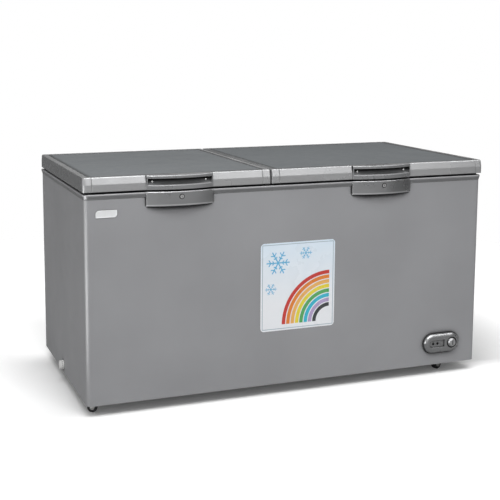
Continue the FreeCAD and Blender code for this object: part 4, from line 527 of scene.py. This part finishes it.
# Painted highlights on moulded parts, as bands: low x, high x, low z, high z and colour. They stand for light
# caught on the crown of the lids' end rails, on the left lid's rail at the seam, on the collar's bead and on
# a lock housing's foot and brow. PAST lies beyond every end of the part, END_RAIL close to the inner edge of
# the lids' end rails, and SEAM at the left lid's edge next to the right lid. A band at an edge starts a width
# or a drop inside it and ends BAND_OVER past it, and the painted light line of a lock housing lies between
# two rises above its foot.
PAST = 1.0
END_RAIL = 0.75
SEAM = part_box("left_lid_rails")[1].x
LID_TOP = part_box("left_lid_rails")[1].z
COLLAR_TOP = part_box("rim_collar")[1].z
HOUSING_LOW, HOUSING_HIGH = (corner.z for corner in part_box("left_lock_housing"))
BAND_OVER = 1 * MM
CROWN_DROP = 1.5 * MM
SEAM_WIDTH = 13 * MM
SEAM_DROP = 4 * MM
BEAD_DROP = 5 * MM
BROW_DROP = 3 * MM
LINE_RISES = (1.5 * MM, 6.5 * MM)
CROWN_HIGHLIGHT = (0.29, 0.293, 0.297)
SEAM_HIGHLIGHT = (0.52, 0.52, 0.525)
BEAD_HIGHLIGHT = (0.32, 0.32, 0.33)
BROW_HIGHLIGHT = (0.42, 0.42, 0.43)
LINE_HIGHLIGHT = (0.60, 0.60, 0.61)
RAIL_HIGHLIGHTS = [
    (-PAST, -END_RAIL, LID_TOP - CROWN_DROP, LID_TOP + BAND_OVER, CROWN_HIGHLIGHT),
    (END_RAIL, PAST, LID_TOP - CROWN_DROP, LID_TOP + BAND_OVER, CROWN_HIGHLIGHT),
    (SEAM - SEAM_WIDTH, SEAM + BAND_OVER, LID_TOP - SEAM_DROP, LID_TOP + BAND_OVER, SEAM_HIGHLIGHT)]
COLLAR_BEAD_HIGHLIGHT = (-PAST, PAST, COLLAR_TOP - BEAD_DROP, COLLAR_TOP + BAND_OVER, BEAD_HIGHLIGHT)
HOUSING_EDGE_HIGHLIGHTS = [
    (-PAST, PAST, *(HOUSING_LOW + rise for rise in LINE_RISES), LINE_HIGHLIGHT),
    (-PAST, PAST, HOUSING_HIGH - BROW_DROP, HOUSING_HIGH + BAND_OVER, BROW_HIGHLIGHT)]

# Greys of the frame rails, handles and lock housings, with the rails' front painted lighter for the light
# that falls on it, the rails' painted shade in hollows (reach, closed, share), and the painted shade in the
# finger recess of a handle as the heights of its foot and brow and the share at its foot
RAIL_GREY = (0.172, 0.176, 0.180)
RAIL_FRONT_LIT = (0.36, 0.363, 0.368)
RAIL_HOLLOW_SHADE = (0.006, 0.2, 0.06)
HANDLE_GREY = (0.26, 0.263, 0.268)
HANDLE_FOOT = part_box("left_lid_handle")[0].z
FINGER_SCOOP_SHADE = (HANDLE_FOOT + 17 * MM, HANDLE_FOOT + 31 * MM, 1.3)
HOUSING_GREY = times(1.25, HANDLE_GREY)
# A finish given a hollow has shade painted into its hollows and under the pieces next to it, such as the body
# paint under the lock housings and the collar.
FINISHES = {
    "body_paint": painted(
        "body_paint", (0.281, 0.283, 0.293), rough=0.36, hollow_shade=(0.028, 0.72, 0.0), Specular_IOR_Level=0.4),
    "rail_plastic": moulded(
        "rail_plastic", RAIL_GREY, rough=0.26, edge=4 * MM, front=RAIL_FRONT_LIT, highlight_bands=RAIL_HIGHLIGHTS,
        hollow_shade=RAIL_HOLLOW_SHADE, Metallic=0.35),
    "corner_plastic": moulded(
        "corner_plastic", RAIL_GREY, rough=0.30, edge=4 * MM, front=RAIL_FRONT_LIT, highlight_bands=RAIL_HIGHLIGHTS,
        hollow_shade=RAIL_HOLLOW_SHADE, Metallic=0.35),
    "collar_plastic": moulded(
        "collar_plastic", (0.19, 0.193, 0.197), rough=0.32, edge=1.5 * MM, highlight_bands=[COLLAR_BEAD_HIGHLIGHT],
        hollow_shade=(0.008, 0.2, 0.06), Metallic=0.3),
    "silver_plastic": moulded(
        "silver_plastic", (0.32, 0.323, 0.328), rough=0.26, edge=2 * MM, hollow_shade=(0.012, 0.50, 0.02),
        Metallic=0.75),
    "handle_plastic": moulded(
        "handle_plastic", HANDLE_GREY, rough=0.30, edge=2 * MM, hollow_shade=(0.035, 0.62, 0.0, FINGER_SCOOP_SHADE),
        Metallic=0.5),
    "housing_plastic": moulded(
        "housing_plastic", HOUSING_GREY, rough=0.30, edge=2 * MM, highlight_bands=HOUSING_EDGE_HIGHLIGHTS, Metallic=0.85),
    "badge_silver": bare_metal(
        "badge_silver", (0.76, 0.77, 0.78), rough=0.36, stretch=(1.0, 1.0, 0.04), metal=0.2),
    "label_print": printed_film("label_print"),
    "white_sheet": painted("white_sheet", (0.78, 0.79, 0.78), rough=0.35, grain=150.0, peel=1.2e-4),
    "white_plastic": moulded("white_plastic", (0.78, 0.78, 0.77), rough=0.38),
    "cap_plastic": moulded("cap_plastic", (0.86, 0.86, 0.85), rough=0.30, hollow_shade=(0.006, 0.45, 0.15)),
    "galvanised": spangled("galvanised", (0.55, 0.56, 0.57), rough=0.42),
    "foam": moulded("foam", (0.62, 0.52, 0.28), rough=0.85, grain=700.0, depth=6e-5),
    "seal_rubber": moulded(
        "seal_rubber", (0.010, 0.010, 0.011), rough=0.60, depth=5e-6, Specular_IOR_Level=0.08),
    "black_plastic": moulded("black_plastic", (0.025, 0.025, 0.026), rough=0.48),
    "tyre": moulded("tyre", (0.018, 0.018, 0.019), rough=0.45, depth=6e-6),
    "zinc": bare_metal("zinc", (0.60, 0.60, 0.59), rough=0.34),
    "enamel": painted("enamel", (0.016, 0.016, 0.017), rough=0.25),
    "steel_tube": bare_metal("steel_tube", (0.40, 0.40, 0.40), rough=0.40),
    "aluminium_tube": bare_metal("aluminium_tube", (0.70, 0.71, 0.72), rough=0.38),
    "copper": bare_metal("copper", (0.72, 0.40, 0.26), rough=0.33),
    "bright_metal": bare_metal("bright_metal", (0.95, 0.95, 0.94), rough=0.20),
    "knob_silver": moulded(
        "knob_silver", (0.38, 0.385, 0.39), rough=0.28, depth=3e-6, hollow_shade=(0.010, 0.45, 0.06),
        Metallic=0.5),
    "lamp_lens": moulded(
        "lamp_lens", (0.006, 0.006, 0.006), rough=0.12, depth=1e-6, Specular_IOR_Level=0.1),
    "hinge_paint": painted("hinge_paint", (0.33, 0.335, 0.34), rough=0.40),
}

# Finishes that differ between the sides. The right lid's top panel is painted a darker grey than the left as
# shade, for light that falls from the left. A lid's top panel has painted shade along its edges, apart from
# the left panel's edge at the seam, and a lock's face is drawn about its own axis.
PANEL_SHADE_WIDTH = 16 * MM
LID_GREY_WITH_SHADE = {"left": (0.138, 0.149, 0.157), "right": (0.122, 0.133, 0.141)}
for side in SIDES:
    panel_low, panel_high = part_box(f"{side}_lid_top_panel")
    if side == "left":
        panel_high.x += 2 * PANEL_SHADE_WIDTH
    FINISHES[f"{side}_lid_paint"] = painted(
        f"{side}_lid_paint", LID_GREY_WITH_SHADE[side], rough=0.44, dust=0.05,
        border=(panel_low.xy, panel_high.xy, PANEL_SHADE_WIDTH), Specular_IOR_Level=0.2)
    lock_low, lock_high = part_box(f"{side}_lock_cylinder")
    lock_radius = (lock_high.z - lock_low.z) / 2
    FINISHES[f"{side}_lock_face"] = lock_face(
        f"{side}_lock_face", lock_low.x + lock_radius, lock_low.z + lock_radius)
NODE_FINISH = {
    "body_paint": ["outer_shell", "back_panel"],
    "left_lid_paint": ["left_lid_top_panel"],
    "right_lid_paint": ["right_lid_top_panel"],
    "rail_plastic": ["left_lid_rails", "right_lid_rails"],
    "corner_plastic": ["left_lid_corners", "right_lid_corners"],
    "collar_plastic": ["rim_collar"],
    "silver_plastic": ["control_bezel"],
    "handle_plastic": ["left_lid_handle", "right_lid_handle"],
    "housing_plastic": ["left_lock_housing", "right_lock_housing"],
    "left_lock_face": ["left_lock_cylinder"],
    "right_lock_face": ["right_lock_cylinder"],
    "white_sheet": ["inner_liner"],
    "white_plastic": [
        "centre_beam", "left_lid_inner_panel", "right_lid_inner_panel", "drain_spout"],
    "cap_plastic": ["drain_cap"],
    "galvanised": ["base_pan", "bay_panel", "caster_plates"],
    "foam": ["foam_insulation", "left_lid_foam", "right_lid_foam"],
    "seal_rubber": ["left_lid_gasket", "right_lid_gasket", "compressor_grommets"],
    "black_plastic": ["terminal_box", "vent_grille", "cord_gland", "thermostat"],
    "tyre": [f"caster_wheel_{corner}" for corner in CASTERS],
    "zinc": [f"caster_{piece}_{corner}" for corner in CASTERS for piece in ("fork", "axle")],
    "enamel": ["compressor"],
    "steel_tube": ["condenser_coil"],
    "aluminium_tube": ["evaporator_coil"],
    "copper": ["refrigerant_pipes", "filter_drier"],
    "bright_metal": ["left_handle_screws", "right_handle_screws"],
    "knob_silver": ["thermostat_knob"],
    "lamp_lens": ["indicator_lenses"],
    "hinge_paint": ["hinge_brackets", "hinge_pins", "left_hinge_arms", "right_hinge_arms"],
}
for finish, names in NODE_FINISH.items():
    for name in names:
        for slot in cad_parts[name].material_slots:
            slot.material = FINISHES[finish]


def grid_faces(rows, columns, round_rows=False, round_columns=False):
    """Four-sided faces between neighbouring points of a grid, which may close on itself either way."""
    row = np.arange(rows if round_rows else rows - 1)[:, None]
    column = np.arange(columns if round_columns else columns - 1)[None, :]
    row_after = (row + 1) % rows
    column_after = (column + 1) % columns
    corners = [row * columns + column, row * columns + column_after,
               row_after * columns + column_after, row_after * columns + column]
    return np.stack(np.broadcast_arrays(*corners), -1).reshape(-1, 4)


def rounded_rectangle(low, high, radii, steps):
    """Arc centres, outward normals and arc radii along a rectangle with round corners, anticlockwise from
    its lower left: each corner turns through a quarter circle in even steps."""
    turn = np.pi + (np.arange(4)[:, None] * np.pi / 2 + np.linspace(0, np.pi / 2, steps + 1)[None, :])
    normals = np.stack([np.cos(turn), np.sin(turn)], -1)
    radii = np.broadcast_to(radii, 4)
    inward = np.array([(1, 1), (-1, 1), (-1, -1), (1, -1)]) * radii[:, None]
    corners = np.array([low, (high[0], low[1]), high, (low[0], high[1])]) + inward
    centres = np.broadcast_to(corners[:, None, :], normals.shape)
    return centres.reshape(-1, 2), normals.reshape(-1, 2), np.repeat(radii, steps + 1)


def put_piece(name, points, faces, finish, body, sharp=40.0):
    """Closed surface made into a piece that rides on a body of the part and takes a finish. Edges that turn
    by more than sharp degrees stay sharp."""
    mesh = bpy.data.meshes.new(name)
    mesh.from_pydata(np.asarray(points, float).reshape(-1, 3).tolist(), [], faces)
    mesh.shade_smooth()
    mesh.set_sharp_from_angle(angle=math.radians(sharp))
    mesh.materials.append(FINISHES[finish])
    piece = bpy.data.objects.new(name, mesh)
    bpy.context.scene.collection.objects.link(piece)
    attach(piece, body)
    return piece


def front_plate(name, low, high, radii, rings, finish):
    """Plate on the front skin with round corners: each ring of its edge is the outline drawn in by an inset
    and stood out from the skin, starting at the skin, and the first and last ring are filled."""
    centres, normals, radius = rounded_rectangle(low, high, radii, PLATE_STEPS)
    inset, stand = np.array(rings).T
    flat = centres[None] + (radius[None] - inset[:, None])[..., None] * normals[None]
    out = np.broadcast_to((FRONT_SKIN - stand)[:, None], flat.shape[:2])
    points = np.stack([flat[..., 0], out, flat[..., 1]], -1)
    rows, columns = points.shape[:2]
    faces = grid_faces(rows, columns, round_columns=True).tolist()
    faces.append(list(range((rows - 1) * columns, rows * columns)))
    faces.append(list(range(columns - 1, -1, -1)))
    put_piece(name, points, faces, finish, "cabinet")


# Bellows seals: width, depth and number of the folds, corner radius, and steps down a side and round a
# corner
SEAL_WIDTH = 14 * MM
SEAL_DEPTH = 0.9 * MM
SEAL_FOLDS = 2
SEAL_CORNER = 20 * MM
SEAL_SIDE_STEPS = 24
SEAL_CORNER_STEPS = 12


def lid_seal(side):
    """Bellows seal under a lid: a closed section swept round a rectangle with round corners. Down each side
    of the section the inset is depth times (1 + cos(2 pi folds h)) / 2 at the part h of the height, so it
    bulges in folds."""
    low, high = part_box(f"{side}_lid_gasket")
    h = np.linspace(0.0, 1.0, SEAL_SIDE_STEPS + 1)
    fold = SEAL_DEPTH * (1 + np.cos(2 * np.pi * SEAL_FOLDS * h)) / 2
    inset = np.concatenate([fold, SEAL_WIDTH - fold[::-1]])
    drop = (high.z - low.z) * np.concatenate([h, h[::-1]])
    centres, normals, radius = rounded_rectangle(low[:2], high[:2], SEAL_CORNER, SEAL_CORNER_STEPS)
    flat = centres[:, None] + (radius[:, None] - inset[None])[..., None] * normals[:, None]
    level = np.broadcast_to((high.z - drop)[None, :], flat.shape[:2])
    points = np.concatenate([flat, level[..., None]], -1)
    faces = grid_faces(*points.shape[:2], round_rows=True, round_columns=True).tolist()
    seal = put_piece(
        f"{side}_lid_seal", points, faces, "seal_rubber", f"{side}_lid", sharp=60.0)
    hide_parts(f"{side}_lid_gasket")


# Screw heads: the directions across, up and out of each face they sit on, the points along a side of their
# grid, and their cross as shares of the radius (half an arm's width and its wall, an arm's reach and its
# end) and of the height (its depth)
FACING = {
    "front": ((1, 0, 0), (0, 0, 1), (0, -1, 0)),
    "back": ((-1, 0, 0), (0, 0, 1), (0, 1, 0)),
    "right": ((0, 1, 0), (0, 0, 1), (1, 0, 0)),
    "down": ((1, 0, 0), (0, -1, 0), (0, 0, -1)),
}
HEAD_POINTS = 27
CROSS_HALF = 0.17
CROSS_WALL = 0.06
CROSS_REACH = 0.66
CROSS_END = 0.12
CROSS_DEPTH = 0.42


def screw_heads(name, places, facing, radius, height, body, finish="bright_metal"):
    """Cross-recessed screw heads on one face. Each is a square grid p, q pressed into a disc by a = p
    sqrt(1 - q^2 / 2) and b = q sqrt(1 - p^2 / 2), raised by (1 - s^4)^(1/3) at the distance s from its
    axis, with a cross sunk in it."""
    side = np.linspace(-1.0, 1.0, HEAD_POINTS)
    p, q = np.meshgrid(side, side)
    a = p * np.sqrt(1 - q * q / 2)
    b = q * np.sqrt(1 - p * p / 2)
    dome = np.cbrt(np.maximum(1 - (a * a + b * b) ** 2, 0.0))
    arm = np.clip((CROSS_HALF - np.minimum(abs(a), abs(b))) / CROSS_WALL, 0, 1)
    recess = arm * np.clip((CROSS_REACH - np.maximum(abs(a), abs(b))) / CROSS_END, 0, 1)
    lift = height * (dome - CROSS_DEPTH * recess)
    u, v, n = np.array(FACING[facing], float)
    head = radius * (a[..., None] * u + b[..., None] * v) + lift[..., None] * n
    places = np.array(places, float)
    points = places[:, None, :] + head.reshape(1, -1, 3)
    index = np.arange(HEAD_POINTS ** 2).reshape(HEAD_POINTS, HEAD_POINTS)
    rim = np.concatenate([index[0, :-1], index[:-1, -1], index[-1, :0:-1], index[:0:-1, 0]])
    starts = index.size * np.arange(len(places))
    tops = starts[:, None, None] + grid_faces(HEAD_POINTS, HEAD_POINTS)[None]
    undersides = starts[:, None] + rim[None, ::-1]
    faces = tops.reshape(-1, 4).tolist() + undersides.tolist()
    return put_piece(name, points, faces, finish, body, sharp=50.0)


# Height of the handle screws' heads, and radius and height of the others
HANDLE_HEAD = 2.5 * MM
ARM_HEAD = (4 * MM, 2.2 * MM)
BRACKET_HEAD = (4.5 * MM, 2.4 * MM)
GRILLE_HEAD = (3 * MM, 1.6 * MM)
PANEL_HEAD = (4 * MM, 2 * MM)
CASTER_HEAD = (2.6 * MM, 1.2 * MM)

# Where screws sit: in from the edges of what they hold, and how far a pair or a square of them stands apart
HINGE_HALF = 18 * MM
ARM_SCREW_DROP = 8.5 * MM
ARM_SCREW_HALF = 10 * MM
BRACKET_SCREW_RISES = (11 * MM, 35 * MM)
GRILLE_SCREW_INSET = 5 * MM
PANEL_SCREW_INSET = 12 * MM
PANEL_SIDE_SPAN = (0.09, 0.66)
PANEL_SIDE_SCREWS = 5
PANEL_FOOT_HALF = 0.64
PANEL_FOOT_SCREWS = 7
CASTER_PLATE_HALF = 22 * MM
CASTER_PLATE_SHEET = 2 * MM
CASTER_SCREW_HALF = 18 * MM


def hinge_middles(side):
    """x of the two hinges of a lid."""
    low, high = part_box(f"{side}_hinge_arms")
    return low.x + HINGE_HALF, high.x - HINGE_HALF


def lid_screws(side):
    """Screw heads of one lid: in its handle's recess, and on its hinge leaves."""
    low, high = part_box(f"{side}_handle_screws")
    radius, seat = (high.z - low.z) / 2, low.y + HANDLE_HEAD
    places = [(x, seat, (low.z + high.z) / 2) for x in (low.x + radius, high.x - radius)]
    heads = screw_heads(f"{side}_handle_screw_heads", places, "front", radius, HANDLE_HEAD, f"{side}_lid")
    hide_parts(f"{side}_handle_screws")
    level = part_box(f"{side}_hinge_arms")[1].z - ARM_SCREW_DROP
    apart = (-ARM_SCREW_HALF, ARM_SCREW_HALF)
    places = [(x + shift, HINGE_LEAF, level) for x in hinge_middles(side) for shift in apart]
    screw_heads(f"{side}_hinge_arm_screws", places, "back", *ARM_HEAD, f"{side}_lid")


def cabinet_screws():
    """Screw heads of the hinge brackets, the grille, the back panel and the caster plates."""
    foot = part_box("hinge_brackets")[0].z
    middles = [x for side in SIDES for x in hinge_middles(side)]
    places = [(x, HINGE_PLATE, foot + rise) for x in middles for rise in BRACKET_SCREW_RISES]
    screw_heads("hinge_bracket_screws", places, "back", *BRACKET_HEAD, "cabinet")
    low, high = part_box("vent_grille")
    depths = (low.y + GRILLE_SCREW_INSET, high.y - GRILLE_SCREW_INSET)
    levels = (low.z + GRILLE_SCREW_INSET, high.z - GRILLE_SCREW_INSET)
    places = [(high.x, y, z) for y in depths for z in levels]
    screw_heads("grille_screws", places, "right", *GRILLE_HEAD, "cabinet", finish="zinc")
    low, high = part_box("back_panel")
    ends = (low.x + PANEL_SCREW_INSET, high.x - PANEL_SCREW_INSET)
    places = [(x, BACK_SKIN, z) for x in ends for z in np.linspace(*PANEL_SIDE_SPAN, PANEL_SIDE_SCREWS)]
    foot_row = np.linspace(-PANEL_FOOT_HALF, PANEL_FOOT_HALF, PANEL_FOOT_SCREWS)
    places += [(x, BACK_SKIN, low.z + PANEL_SCREW_INSET) for x in foot_row]
    screw_heads("back_panel_screws", places, "back", *PANEL_HEAD, "cabinet", finish="zinc")
    low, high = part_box("caster_plates")
    acrosses = (low.x + CASTER_PLATE_HALF, high.x - CASTER_PLATE_HALF)
    depths = (low.y + CASTER_PLATE_HALF, high.y - CASTER_PLATE_HALF)
    apart = (-CASTER_SCREW_HALF, CASTER_SCREW_HALF)
    middles = [(x, y) for x in acrosses for y in depths]
    places = [(x + a, y + b, high.z - CASTER_PLATE_SHEET) for x, y in middles for a in apart for b in apart]
    screw_heads("caster_plate_screws", places, "down", *CASTER_HEAD, "cabinet", finish="zinc")


front_plate("front_label", LABEL_LOW, LABEL_HIGH, LABEL_CORNER, LABEL_RINGS, "label_print")
front_plate("badge_plate", BADGE_LOW, BADGE_HIGH, BADGE_CORNERS, BADGE_RINGS, "badge_silver")
for side in SIDES:
    lid_seal(side)
for side in SIDES:
    lid_screws(side)
cabinet_screws()


def make_camera():
    """Camera at the photograph's place, with its lens and picture centre."""
    data = bpy.data.cameras.new("photo_camera")
    data.sensor_width = SENSOR_WIDTH
    data.lens = FOCAL_PIXELS / PICTURE * SENSOR_WIDTH
    data.shift_x = (PICTURE / 2 - CENTRE_PIXEL[0]) / PICTURE
    data.shift_y = (CENTRE_PIXEL[1] - PICTURE / 2) / PICTURE
    camera = bpy.data.objects.new("photo_camera", data)
    turn = Matrix.Rotation(-CAMERA_YAW, 4, "Z") @ Matrix.Rotation(math.pi / 2 - CAMERA_PITCH, 4, "X")
    camera.matrix_world = Matrix.Translation(CAMERA_PLACE) @ turn @ Matrix.Rotation(CAMERA_ROLL, 4, "Z")
    bpy.context.scene.collection.objects.link(camera)
    bpy.context.scene.camera = camera


def turned_to(place, aim):
    """Placement at a point, turned so that its -Z looks at the aim and its Y is as upright as it can be."""
    ahead = np.array(aim) - np.array(place)
    ahead = ahead / np.linalg.norm(ahead)
    across = np.cross(ahead, (0, 0, 1))
    across = across / np.linalg.norm(across)
    turn = np.eye(4)
    turn[:3, :3] = np.stack([across, np.cross(across, ahead), -ahead], 1)
    turn[:3, 3] = place
    return Matrix(turn)


# Power of an area light for each square metre and unit of brightness
LAMP_POWER = 4


def softbox(name, place, aim, width, height, radiance, lights=True):
    """Rectangular soft light at a place, turned to its aim, of a given brightness per area. One that
    doesn't light is only seen in gloss."""
    data = bpy.data.lights.new(name, "AREA")
    data.shape = "RECTANGLE"
    data.size = width
    data.size_y = height
    data.energy = LAMP_POWER * width * height * radiance
    lamp = bpy.data.objects.new(name, data)
    lamp.matrix_world = turned_to(place, aim)
    lamp.visible_diffuse = lights
    bpy.context.scene.collection.objects.link(lamp)


# Studio: where its grey cards stand, between which x their tone changes, by which shares it drifts, and the
# world's even light
CARD_RIGHT = 3.3
CARD_LEFT = -4.0
CARD_BACK = 3.6
CARD_FRONT = -4.4
CARD_FADE = (0.2, 2.4)
CARD_DRIFT = (0.9, 1.1)
AMBIENT = 0.50


def grey_flat(name, start, stop, height, left_tone, right_tone):
    """Grey card that stands on the floor from one point to another at the edge of the studio. It is only
    seen in gloss, and has a tone for its left and one for its right."""
    corners = [(*start, 0.0), (*stop, 0.0), (*stop, height), (*start, height)]
    mesh = bpy.data.meshes.new(name)
    mesh.from_pydata(corners, [], [(0, 1, 2, 3)])
    card = bpy.data.objects.new(name, mesh)
    bpy.context.scene.collection.objects.link(card)
    material, t, end = new_material(name)
    drift = t.ramp(t.noise(scale=2.0, detail=2.0), 0.0, 1.0, *CARD_DRIFT)
    shade = t.math("MULTIPLY", t.ramp(t.axis("X"), *CARD_FADE, left_tone, right_tone), drift)
    glow = t.node("Emission", {"Strength": shade}).outputs[0]
    t.tree.links.new(glow, end.inputs["Surface"])
    mesh.materials.append(material)
    card.visible_camera = False
    card.visible_diffuse = False
    card.visible_shadow = False
    card.visible_transmission = False


def seen_directly(t):
    """1 for what the camera sees, straight or in gloss or glass, and 0 for rays that light the object."""
    path = t.node("LightPath").outputs
    seen = t.math("MAXIMUM", path["Is Camera Ray"], path["Is Glossy Ray"])
    return t.math("MAXIMUM", seen, path["Is Transmission Ray"])


def make_world():
    """White surroundings where they are seen, and even soft light from all sides otherwise."""
    world = bpy.data.worlds.new("studio")
    bpy.context.scene.world = world
    world.use_nodes = True
    world.node_tree.nodes.clear()
    t = Tree(world.node_tree)
    fill = t.node("Background", {"Color": (1.0, 1.0, 1.0), "Strength": AMBIENT})
    white = t.node("Background", {"Color": (1.0, 1.0, 1.0), "Strength": 1.0})
    blend = t.node("MixShader", {0: seen_directly(t), 1: fill.outputs[0], 2: white.outputs[0]})
    t.node("OutputWorld", {"Surface": blend.outputs[0]})


# Floor: its reach, where it fades into the surroundings, and its tone. From the patch under the part, given
# by its middle and half its sides, it turns lighter over a distance. Ahead and behind count more than
# aside, and past the part's ends less so.
FLOOR_REACH = 12.0
FLOOR_FADE = (1.7, 3.2)
FLOOR_TONES = ((0.79, 0.79, 0.79), (0.81, 0.81, 0.81))
FLOOR_GLOW = 0.05
FLOOR_LIGHTER = 1.8
FLOOR_IN_GLOSS = 0.4
PATCH_MIDDLE = 0.10
PATCH_HALF_X = 0.78
PATCH_HALF_Y = 0.27
PATCH_FADE = 0.52
PATCH_ENDS = (0.80, 1.05)
AHEAD_COUNTS = 4.5
AHEAD_COUNTS_PAST = 1.2


def make_floor():
    """Pale floor that keeps the shadow and fades into the white surroundings a few metres out. The camera
    sees it with a slight glow and lighter away from the part, so that only the shadow close to the part is
    left on white. Gloss sees it greyer."""
    far = FLOOR_REACH
    mesh = bpy.data.meshes.new("floor")
    mesh.from_pydata([(-far, -far, 0), (far, -far, 0), (far, far, 0), (-far, far, 0)], [], [(0, 1, 2, 3)])
    floor = bpy.data.objects.new("floor", mesh)
    bpy.context.scene.collection.objects.link(floor)
    material, t, end = new_material("floor_paper")
    path = t.node("LightPath").outputs
    off_middle = t.math("ABSOLUTE", t.math("SUBTRACT", t.axis("X"), PATCH_MIDDLE))
    aside = t.math("MAXIMUM", t.math("SUBTRACT", off_middle, PATCH_HALF_X), 0.0)
    ahead = t.math("MAXIMUM", t.beyond(t.axis("Y"), -PATCH_HALF_Y, PATCH_HALF_Y), 0.0)
    ahead = t.math("MULTIPLY", ahead, t.ramp(off_middle, *PATCH_ENDS, AHEAD_COUNTS, AHEAD_COUNTS_PAST))
    away = t.ramp(t.distance(aside, ahead), 0.0, PATCH_FADE)
    gain = t.ramp(t.math("MULTIPLY", path["Is Camera Ray"], away), 0.0, 1.0, 1.0, FLOOR_LIGHTER)
    gain = t.math("MULTIPLY", gain, t.ramp(path["Is Glossy Ray"], 0.0, 1.0, 1.0, FLOOR_IN_GLOSS))
    grain = t.mix(t.noise(scale=260.0, detail=4.0), *FLOOR_TONES)
    tone = t.node("VectorMath", {0: grain, "Scale": gain}, operation="SCALE").outputs[0]
    lit = t.node("BsdfDiffuse", {"Color": tone}).outputs[0]
    glow = t.math("MULTIPLY", path["Is Camera Ray"], FLOOR_GLOW)
    lit = t.node("AddShader", {0: lit, 1: t.node("Emission", {"Strength": glow}).outputs[0]}).outputs[0]
    out = t.node("VectorMath", {0: t.place()}, operation="LENGTH").outputs["Value"]
    gone = t.math("MULTIPLY", t.ramp(out, *FLOOR_FADE), path["Is Camera Ray"])
    clear = t.node("BsdfTransparent").outputs[0]
    mixed = t.node("MixShader", {0: gone, 1: lit, 2: clear}).outputs[0]
    t.tree.links.new(mixed, end.inputs["Surface"])
    mesh.materials.append(material)


def make_studio():
    """Large key light high in front and even fill. A panel at the left, strips at the front and above and
    two grey cards only show in gloss: they draw the bright lines along corners and bevels and darken what
    faces away."""
    make_world()
    softbox("key_softbox", (-1.0, -3.4, 5.2), (0.0, -0.3, 0.5), width=4.6, height=2.4, radiance=5.0)
    softbox("left_panel", (-1.4, -0.55, 0.34), (-0.78, -0.55, 0.34),
            width=0.6, height=0.68, radiance=7.0, lights=False)
    softbox("front_strip", (1.8, -4.3, 2.65), (0.3, -0.38, 0.83),
            width=4.4, height=0.6, radiance=2.3, lights=False)
    softbox("top_strip", (1.2, -1.6, 4.4), (1.2, -0.38, 0.83),
            width=7.0, height=0.9, radiance=6.0, lights=False)
    grey_flat("right_card", (CARD_RIGHT, CARD_FRONT), (CARD_RIGHT, CARD_BACK),
              height=2.8, left_tone=0.08, right_tone=0.08)
    grey_flat("back_card", (CARD_LEFT, CARD_BACK), (CARD_RIGHT, CARD_BACK),
              height=2.3, left_tone=0.22, right_tone=0.05)
    make_floor()


make_camera()
make_studio()
bpy.context.scene.view_settings.view_transform = "Standard"
